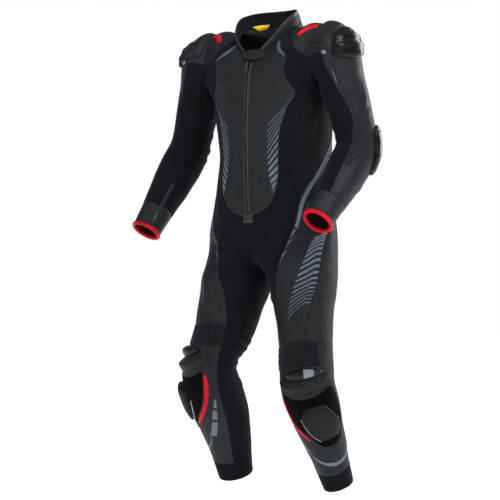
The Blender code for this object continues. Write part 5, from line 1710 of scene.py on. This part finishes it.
def armour(side):
    """One side's pads, cups, sliders, velcro, red trim and small marks."""
    arm, body = "arm_" + side, "body_" + side
    pad, _ = raised("knee_pad_quilt", side, KNEE_PAD, f"knee_pad_{side}", extra=quilted)
    _, cup = raised("knee_cup_shell", side, KNEE_CUP, f"knee_cup_{side}")
    insert = loop_patch(body, KNEE_INSERT, 0.004, (0.0006, 0.0014), False)
    rest = cloth_lift(body, insert.places) + on_piece(cup, KNEE_CUP, body, insert.uv)
    top = rest + np.interp(insert.gap, (0, 0.0006, 0.0014), (0.0001, 0.0006, 0.0007))
    piece = shell(f"knee_insert_{side}", insert, insert.places + insert.normals * top[:, None],
                  insert.places + insert.normals * (rest - 0.0004)[:, None], ["insert"])
    dress(piece, "gloss")
    flat_patch(f"velcro_field_{side}", body, VELCRO, "velcro", "velcro", 0.0020, -0.0002,
               [f"velcro_{side}"], round_off=True)
    raised("knee_puck", side, KNEE_SLIDER, f"knee_slider_{side}", extra=tapered)
    # Painted highlight: pale ribbons along the slider's lower edges stand in for glints on its rim.
    glint_lines = [ribbon(body, smooth_path(path, 5), 0.0008, 0.0042, base=0.0018) for path in PUCK_GLINTS]
    add_joined(f"puck_glint_{side}", glint_lines, "painted_glint", "gloss")
    raised("shoulder_cup_shell", side, SHOULDER_CUP, f"shoulder_cup_{side}", extra=louvred)
    hump, _ = raised("shoulder_pad", side, SHOULDER_PAD)
    flat_patch(f"shoulder_tab_{side}", arm, SHOULDER_TAB, "insert", "gloss", 0.0042, 0.0012,
               sheet=False)
    raised("elbow_puck", side, ELBOW_SLIDER, f"elbow_slider_{side}", extra=grooved)
    band = ribbon(body, smooth_path(RED_BAND, 6), RED_BAND_WIDTHS, 0.0010, columns=7, crown=0.0003)
    add_joined(f"shoulder_stripe_{side}", [band], "red", "red", f"red_band_{side}")
    strip = ribbon(body, smooth_path(PIPING, 6), PIPING_WIDTHS, 0.0014, columns=7, crown=0.0008)
    add_joined(f"shin_stripe_{side}", [strip], "red", "red", f"piping_{side}")
    seams = [ribbon(chart + "_" + side, smooth_path(path, 6), 0.0008, 0.0002, columns=3)
             for chart, path in SEAM_ARCS]
    add_joined(f"seam_arcs_{side}", seams, "tape", "leather")
    mark = ribbon(arm, smooth_path(SLEEVE_MARK, 4), MARK_WIDTHS, 0.0004, columns=3)
    add_joined(f"sleeve_mark_{side}", [mark], "pale_thread", "leather")


# ---------------------------------------------------------------- zips
ZIP = {"top": 0.35, "bottom": 8.05}
# Zip sections, across and out, in millimetres.
ZIP_TAPE = ((-5.5, -0.2), (5.5, -0.2), (5.5, 0.5), (-5.5, 0.5))
ZIP_LIP = ((2.5, 0.5), (2.7, 1.3), (3.4, 1.9), (4.4, 2.1), (5.4, 1.9), (5.8, 1.5), (6.3, 1.6),
           (7.4, 1.2), (8.4, 0.5), (8.4, -0.3), (2.5, -0.3))
TOOTH = {"pitch": 0.0019, "wide": 0.0036, "long": 0.0012, "high": 0.0012, "base": 0.0006}
WRIST_ZIP = {"top": 7.1, "bottom": 8.78, "spacing": 0.003}
WRIST_LIP_UNIT = 1900    # parts of a metre in the lips' section there, so about half the size
PULL_SECTION = ((-1.6, 2.6), (1.6, 2.6), (1.6, 3.6), (-1.6, 3.6))
HEAD_SECTION = ((-2.2, 1.2), (-1.6, 3.4), (1.6, 3.4), (2.2, 1.2))
GARAGE = {"top": 8.08, "tall": 0.44, "wide": {"body_left": 0.30, "body_right": 0.12}}


def centre_stations(start, end, spacing):
    """Places, across and out directions down the middle of the front."""
    line = np.stack([np.zeros(200), np.linspace(start, end, 200)], 1)
    line = spaced("body_left", line, spacing)
    places, normals = SURFACE.sample("body_left", line)
    height = cloth_lift("body_left", places)
    places = places + normals * height[:, None]
    places[:, 0] = 0
    normals[:, 0] = 0
    return places, np.tile((1.0, 0.0, 0.0), (len(places), 1)), units(normals)


def extruded(stations, section, scale=None):
    """A closed section of (across, out) points swept along stations, its ends closed."""
    rings = []
    for k, (place, across, out) in enumerate(zip(*stations)):
        size = 1 if scale is None else scale[k]
        rings.append([place + across * x * size + out * y * size for x, y in section])
    points, faces = capped(rings)
    return points, turned_out(points, faces)


def capped(rings):
    """Points and faces of a wall through open-ended rings, with a cap at each end."""
    count = len(rings[0])
    faces = ring_faces(len(rings), count, False)
    last = (len(rings) - 1) * count
    faces.append(list(range(count))[::-1])
    faces.append([last + k for k in range(count)])
    return np.array(rings).reshape(-1, 3), faces


def teeth(stations):
    """Interlocking blocks along the middle of a zip, one for each station."""
    places, across, out = stations
    forward = units(np.gradient(places, axis=0))
    parts = []
    for k in range(len(places)):
        side = 0.35 if k % 2 else -0.35
        corners = []
        for lift in (TOOTH["base"], TOOTH["base"] + TOOTH["high"]):
            for x, y in BOX_CORNERS:
                corners.append(places[k] + across[k] * (x + side) * TOOTH["wide"] / 2
                               + forward[k] * y * TOOTH["long"] / 2 + out[k] * lift)
        corners = np.array(corners)
        parts.append((corners, turned_out(corners, BOX_FACES)))
    return parts


def in_metres(section, sign=1, unit_parts=1000):
    """A section given in millimetres, or in other parts of a metre, mirrored by sign."""
    return [(sign * x / unit_parts, y / unit_parts) for x, y in section]


def main_zip():
    """The front zip: tape, teeth, leather lips beside them, and the garage at the foot."""
    whole = centre_stations(ZIP["top"], ZIP["bottom"], 0.004)
    tape = extruded(whole, in_metres(ZIP_TAPE))
    piece = add_joined("zip_tape", [tape], "tape", "stretch", "zip_main")
    places = whole[0]
    fine = centre_stations(ZIP["top"] + 0.05, ZIP["bottom"] - 0.05, TOOTH["pitch"])
    add_joined("zip_teeth", teeth(fine), "dark_metal", "metal")
    lips = []
    share = np.linspace(0, 1, len(places))
    for sign in (-1, 1):
        lips.append(extruded(whole, in_metres(ZIP_LIP, sign), 1 - 0.35 * np.exp(-(1 - share) * 60)))
    # Painted highlight: the lips take the lighter edge hide, standing in for light along their edges.
    add_joined("zip_lips", lips, "hide_edge", "leather")
    patches = []
    for chart, wide in GARAGE["wide"].items():
        uv = np.stack(np.meshgrid(np.linspace(0, 1, 8), np.linspace(0, 1, 9)), -1)
        grid = np.stack([wide * uv[..., 0], GARAGE["top"] + GARAGE["tall"] * uv[..., 1]], -1)
        edge = np.minimum(uv[..., 1], 1 - uv[..., 1]) * 8
        edge = np.minimum(edge, (1 - uv[..., 0]) * 7)
        patches.append(wall_on(chart, grid, 0.0008 + 0.0014 * np.clip(edge, 0, 1), -0.0002))
    add_joined("zip_garage", patches, "hide_edge", "leather")


def wrist_zip(side):
    """A short zip up the forearm from the cuff, with its pull."""
    chart = "arm_" + side
    rows = np.linspace(WRIST_ZIP["top"], WRIST_ZIP["bottom"], 40)
    line = np.stack([np.full(40, CUFF_ZIP_COLUMN), rows], 1)
    places, normals = SURFACE.sample(chart, spaced(chart, line, WRIST_ZIP["spacing"]))
    places = places + normals * cloth_lift(chart, places)[:, None]
    across = units(np.cross(np.gradient(places, axis=0), normals))
    stations = (places, across, normals)
    add_joined(f"wrist_tape_{side}", [extruded(stations, in_metres(ZIP_TAPE))], "tape", "stretch")
    lips = [extruded(stations, in_metres(ZIP_LIP, sign, WRIST_LIP_UNIT)) for sign in (-1, 1)]
    # Painted highlight: the lips take the lighter edge hide, standing in for light along their edges.
    add_joined(f"wrist_lips_{side}", lips, "hide_edge", "leather")
    start = len(places) - 6
    along_pull = tuple(part[start - 8:start + 1] for part in stations)
    pull = extruded(along_pull, in_metres(PULL_SECTION))
    head = extruded(tuple(part[start - 1:start + 3] for part in stations), in_metres(HEAD_SECTION))
    add_joined(f"wrist_pull_{side}", [pull, head], "steel", "metal")


# ---------------------------------------------------------------- collar
# The collar's top edge: place along the neckline (0 front, 2 side, 4 back), x, y, z.
COLLAR_TOP = (
    (0.45, 0.030, -0.1125, -0.026),
    (1.20, 0.077, -0.093, 0.026),
    (2.00, 0.098, -0.040, 0.080),
    (3.00, 0.062, 0.018, 0.101),
    (4.00, 0.000, 0.046, 0.104),
)
COLLAR_WALL = 0.003
COLLAR_BAND = 0.010      # height of the band along the top edge
BAND_RAISED = 0.0009     # how far that band stands out
COLLAR_FOOT = 0.05       # share of the height that goes under the neck seam
LINING_SEAM = 0.6        # where the lining is sewn across, as a share of the height
LINING_HEIGHTS = (0.99, 0.95, 0.8, 0.62, LINING_SEAM, 0.58, 0.4, 0.2, 0.05, -COLLAR_FOOT)
# The throat tab across the collar's ends.
TAB = {"middle_x": 0.011, "middle_z": -0.0400, "half_width": 0.042, "half_height": 0.0155,
       "back_y": -0.1164, "slope": 0.25, "curve": 0.002}
# Its rolled rim: share of the way out, and height in millimetres.
TAB_PROFILE = ((0, 3.0), (0.2, 3.0), (0.4, 3.0), (0.6, 3.1), (0.74, 3.2), (0.80, 2.7), (0.84, 3.1),
               (0.88, 3.9), (0.94, 4.0), (0.98, 3.2), (1.0, 1.6))
TAB_SIDES = 64
TAB_BACK = 0.0014        # its back face lies this far behind the rim
# The snap on it: radius and height in millimetres.
SNAP_PROFILE = ((3.4, 2.6), (3.4, 4.0), (2.9, 4.5), (1.6, 4.7), (1.2, 4.3))
SNAP_SIDES = 24
NECK_LABEL = {"from": 2.56, "to": 3.34, "top": 0.07, "foot": 0.24, "foot_middle": 2.80, "narrow": 0.5}


def collar_point(sign, along_neck, height):
    """A place on the collar's outer face, from its seam (0) to its top edge (1)."""
    column = along_neck if along_neck <= 2 else along_neck + 6
    foot, _ = SURFACE.sample("body_left" if sign > 0 else "body_right", [(column, 0)])
    foot = foot[0]
    top = np.array([smooth_value([(row[0], row[axis]) for row in COLLAR_TOP], along_neck)
                    for axis in (1, 2, 3)])
    top[0] *= sign
    return foot + (top - foot) * height


def collar_frame(sign, along_neck):
    """The foot, the rise and the outward direction of a collar station."""
    step = 0.02
    ahead = collar_point(sign, min(along_neck + step, 4), 0.5)
    behind = collar_point(sign, max(along_neck - step, COLLAR_TOP[0][0]), 0.5)
    foot = collar_point(sign, along_neck, 0)
    rise = collar_point(sign, along_neck, 1) - foot
    out = -sign * np.cross(rise, ahead - behind)
    return foot, rise, out / np.linalg.norm(out)


def collar_bend(along_neck):
    """How far the collar's middle bows out, most at the nape and least at the throat."""
    return 0.0022 * math.sin(math.pi * min(along_neck, 4) / 8)


def build_collar():
    """The stand collar: seam, outer face, top band and lining, swept round the neck."""
    start = COLLAR_TOP[0][0]
    share = np.linspace(0, 1, 46)
    stations = [(1, start + (4 - start) * s) for s in share]
    stations += [(-1, along_neck) for _, along_neck in stations[-2::-1]]
    rings = []
    for sign, along_neck in stations:
        foot, rise, out = collar_frame(sign, along_neck)
        tall = np.linalg.norm(rise)
        band = min(COLLAR_BAND / tall, 0.6)
        bow = collar_bend(along_neck)
        ripple = 0.0004 * math.sin(along_neck * 9.0 + sign)
        heights = [-COLLAR_FOOT, 0.0, 0.03] + list(np.linspace(0.1, 1 - band - 0.04, 7))
        heights += [1 - band - 0.012, 1 - band + 0.012, 1 - band + 0.05, 1 - band / 2, 0.96, 0.99]
        ring = []
        for height in heights:
            swell = bow * math.sin(math.pi * min(max(height, 0), 1)) + ripple * height
            raised_band = BAND_RAISED * np.clip((height - 1 + band) / 0.04, 0, 1)
            groove = 0.0008 * math.exp(-(((height - 1 + band) * tall) / 0.0010) ** 2)
            tuck = 0.0032 * np.clip(-height / COLLAR_FOOT, 0, 1)
            ring.append(foot + rise * height + out * (swell + raised_band - groove - tuck))
        for turn in (0.25, 0.5, 0.75):
            angle = math.pi * turn
            ring.append(foot + rise * (0.995 + 0.0015 * math.sin(angle) / tall)
                        + out * (BAND_RAISED - (COLLAR_WALL + BAND_RAISED) * (1 - math.cos(angle)) / 2))
        outer_count = len(ring)
        for height in LINING_HEIGHTS:
            swell = bow * math.sin(math.pi * min(max(height, 0), 1))
            groove = 0.0009 if height == LINING_SEAM else 0
            tuck = 0.0022 * np.clip(-height / COLLAR_FOOT, 0, 1)
            ring.append(foot + rise * height + out * (swell - COLLAR_WALL - tuck + groove))
        rings.append(ring)
    points, faces = capped(rings)
    count = len(rings[0])
    looks = [0] * count
    # The top band and its rolled rim take the lighter edge hide, the painted highlight tone of the zip
    # lips.
    looks[10:outer_count] = [2] * (outer_count - 10)
    looks[outer_count - 2:count - 1] = [1] * (count + 1 - outer_count)
    index = looks * (len(rings) - 1) + [0, 0]
    piece = new_object("collar_stand", points, turned_out(points, faces),
                       ["hide", "collar_lining", "hide_edge"])
    piece.data.polygons.foreach_set("material_index", index)
    give_uv(piece.data, [(0.004 * (k // count), 0.003 * (k % count)) for k in range(len(points))])
    give_wear(piece.data, np.zeros(len(points)))
    dress(piece, "stretch", "collar")
    girth = 2 * sum(np.linalg.norm(collar_point(1, a, 0.5) - collar_point(1, b, 0.5)) for a, b in
                    zip(np.linspace(start, 4, 30)[:-1], np.linspace(start, 4, 30)[1:]))


def build_throat_tab():
    """The oval tab over the zip's top, with a rolled rim and a snap."""
    rings = []
    for share, high in TAB_PROFILE[1:]:
        ring = []
        for k in range(TAB_SIDES):
            angle = 2 * math.pi * k / TAB_SIDES
            x = TAB["half_width"] * share * math.cos(angle)
            z = TAB["half_height"] * share * math.sin(angle)
            y = TAB["back_y"] + TAB["slope"] * z + TAB["curve"] * (x / TAB["half_width"]) ** 2
            ring.append((TAB["middle_x"] + x, y - high / 1000, TAB["middle_z"] + z))
        rings.append(ring)
    top = [(TAB["middle_x"], TAB["back_y"] - TAB_PROFILE[0][1] / 1000, TAB["middle_z"])]
    top += [place for ring in rings for place in ring]
    back = [(TAB["middle_x"], TAB["back_y"], TAB["middle_z"])]
    back += [(x, y + TAB_BACK, z) for x, y, z in rings[-1]]
    points = np.array(top + back)
    faces = []
    for k in range(TAB_SIDES):
        ahead = (k + 1) % TAB_SIDES
        faces.append([0, 1 + ahead, 1 + k])
        for ring in range(len(rings) - 1):
            a = 1 + ring * TAB_SIDES
            faces.append([a + k, a + ahead, a + TAB_SIDES + ahead, a + TAB_SIDES + k])
        rim = 1 + (len(rings) - 1) * TAB_SIDES
        under = len(top) + 1
        faces.append([rim + k, rim + ahead, under + ahead, under + k])
        faces.append([under + k, under + ahead, len(top)])
    piece = new_object("throat_tab", points, faces_outward(points, faces), ["hide"])
    give_wear(piece.data, [0.3] * len(points))
    dress(piece, "leather", "collar_tab")
    snap = []
    for radius, out in SNAP_PROFILE:
        for k in range(SNAP_SIDES):
            angle = 2 * math.pi * k / SNAP_SIDES
            snap.append((TAB["middle_x"] + radius / 1000 * math.cos(angle), TAB["back_y"] - out / 1000,
                         TAB["middle_z"] + radius / 1000 * math.sin(angle)))
    points = np.array(snap)
    last = len(points) - SNAP_SIDES
    faces = [list(range(SNAP_SIDES)), [last + k for k in range(SNAP_SIDES)][::-1]]
    faces += ring_faces(len(SNAP_PROFILE), SNAP_SIDES, False)
    piece = new_object("throat_snap", points, faces_outward(points, faces), ["gloss"])
    dress(piece, "gloss")


def faces_outward(points, faces):
    """Faces made to agree with each other, then turned out."""
    mesh = bpy.data.meshes.new("turning")
    mesh.from_pydata([tuple(point) for point in points], [], faces)
    shape = bmesh.new()
    shape.from_mesh(mesh)
    bmesh.ops.recalc_face_normals(shape, faces=shape.faces)
    found = [[vertex.index for vertex in face.verts] for face in shape.faces]
    shape.free()
    bpy.data.meshes.remove(mesh)
    return found


def build_neck_label():
    """A woven label sewn over the collar's seam inside the nape, narrower at its foot."""
    columns, rows = 13, 8
    middle = (NECK_LABEL["from"] + NECK_LABEL["to"]) / 2
    top, bottom = [], []
    for along_neck in np.linspace(NECK_LABEL["from"], NECK_LABEL["to"], columns):
        _, _, out = collar_frame(-1, along_neck)
        inward = COLLAR_WALL + 0.0010 - collar_bend(along_neck) * math.sin(math.pi * NECK_LABEL["top"])
        high = collar_point(-1, along_neck, NECK_LABEL["top"]) - out * inward
        column = 6 + NECK_LABEL["foot_middle"] + (along_neck - middle) * NECK_LABEL["narrow"]
        place, normal = SURFACE.sample("body_right", [(column, NECK_LABEL["foot"])])
        low = place[0] - normal[0] * (CLOTH_WALL + 0.0012)
        for share in np.linspace(0, 1, rows):
            top.append(high + (low - high) * share - out * 0.0034 * math.sin(math.pi * share))
            bottom.append(top[-1] + out * 0.0007)
    faces = grid_faces(columns, rows, columns * rows)
    points = np.array(top + bottom)
    piece = new_object("neck_label_woven", points, faces_outward(points, faces.tolist()), ["label"])
    give_uv(piece.data, points[:, [0, 2]])
    dress(piece, "label", "neck_label_right")


for side, _ in SIDES:
    armour(side)
    wrist_zip(side)
main_zip()
build_collar()
build_throat_tab()
build_neck_label()
for node, look in (("zip_slider", "dark_metal"), ("zip_pull", "steel")):
    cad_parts[node].data.materials[0] = MATERIALS[look]


# ---------------------------------------------------------------- camera, light and floor
CAMERA = {"lens": 121.6, "place": (3.020, -3.986, -0.607), "azimuth": 38}
FLOOR_Z = -1.312
FLOOR_HALF = 40.0
FLOOR_GLOW = 0.74        # the floor's own light, so that it shows white
AMBIENT = 0.30
LIT_AT = (0.0, -0.03, -0.6)
# Lights: name, azimuth, height, distance, size, power.
LIGHTS = (
    ("key", 75, 1.2, 2.6, (1.4, 1.8), 50),
    ("fill", -10, 1.0, 3.2, (2.0, 2.2), 28),
    ("top", 38, 2.2, 1.2, (1.6, 1.6), 28),
    ("rim", 165, 0.6, 2.8, (1.2, 2.2), 45),
)


def area_light(name, place, size, power):
    """A rectangular light aimed at the suit's middle."""
    data = bpy.data.lights.new(name, "AREA")
    data.shape = "RECTANGLE"
    data.size, data.size_y = size
    data.energy = power
    light = bpy.data.objects.new(name, data)
    bpy.context.collection.objects.link(light)
    light.location = place
    light.rotation_euler = (Vector(LIT_AT) - Vector(place)).to_track_quat("-Z", "Y").to_euler()


def build_stage():
    """White floor and surround, four soft lights, and the camera."""
    tree, shader = plain("floor_paint", (0.90, 0.90, 0.90))
    set_values(shader, Emission_Color=(1, 1, 1, 1), Emission_Strength=FLOOR_GLOW)
    mesh = bpy.data.meshes.new("floor")
    mesh.from_pydata([(x * FLOOR_HALF, y * FLOOR_HALF, FLOOR_Z) for x, y in BOX_CORNERS], [],
                     [[0, 1, 2, 3]])
    mesh.materials.append(MATERIALS["floor_paint"])
    floor = bpy.data.objects.new("floor", mesh)
    bpy.context.collection.objects.link(floor)

    world = bpy.data.worlds.new("studio")
    bpy.context.scene.world = world
    world.use_nodes = True
    tree = world.node_tree
    tree.nodes.clear()
    seen = add(tree, "Background", {"Color": (1, 1, 1, 1), "Strength": 1.0})
    lit = add(tree, "Background", {"Color": (0.96, 0.98, 1, 1), "Strength": AMBIENT})
    path = add(tree, "LightPath")
    mix = add(tree, "MixShader", {0: path.outputs["Is Camera Ray"], 1: lit.outputs[0],
                                  2: seen.outputs[0]})
    output = add(tree, "OutputWorld")
    tree.links.new(mix.outputs[0], output.inputs["Surface"])

    for name, azimuth, height, distance, size, power in LIGHTS:
        turn = math.radians(azimuth)
        place = (math.sin(turn) * distance, -math.cos(turn) * distance, height)
        area_light(name, place, size, power)

    scene = bpy.context.scene
    scene.view_settings.view_transform = "Standard"
    scene.view_settings.look = "None"
    scene.view_settings.exposure = 0
    scene.view_settings.gamma = 1
    data = bpy.data.cameras.new("photo_camera")
    data.sensor_width = 36
    data.lens = CAMERA["lens"]
    data.clip_end = 100
    camera = bpy.data.objects.new("photo_camera", data)
    bpy.context.collection.objects.link(camera)
    camera.location = CAMERA["place"]
    camera.rotation_euler = (math.radians(90), 0, math.radians(CAMERA["azimuth"]))
    scene.camera = camera


build_stage()
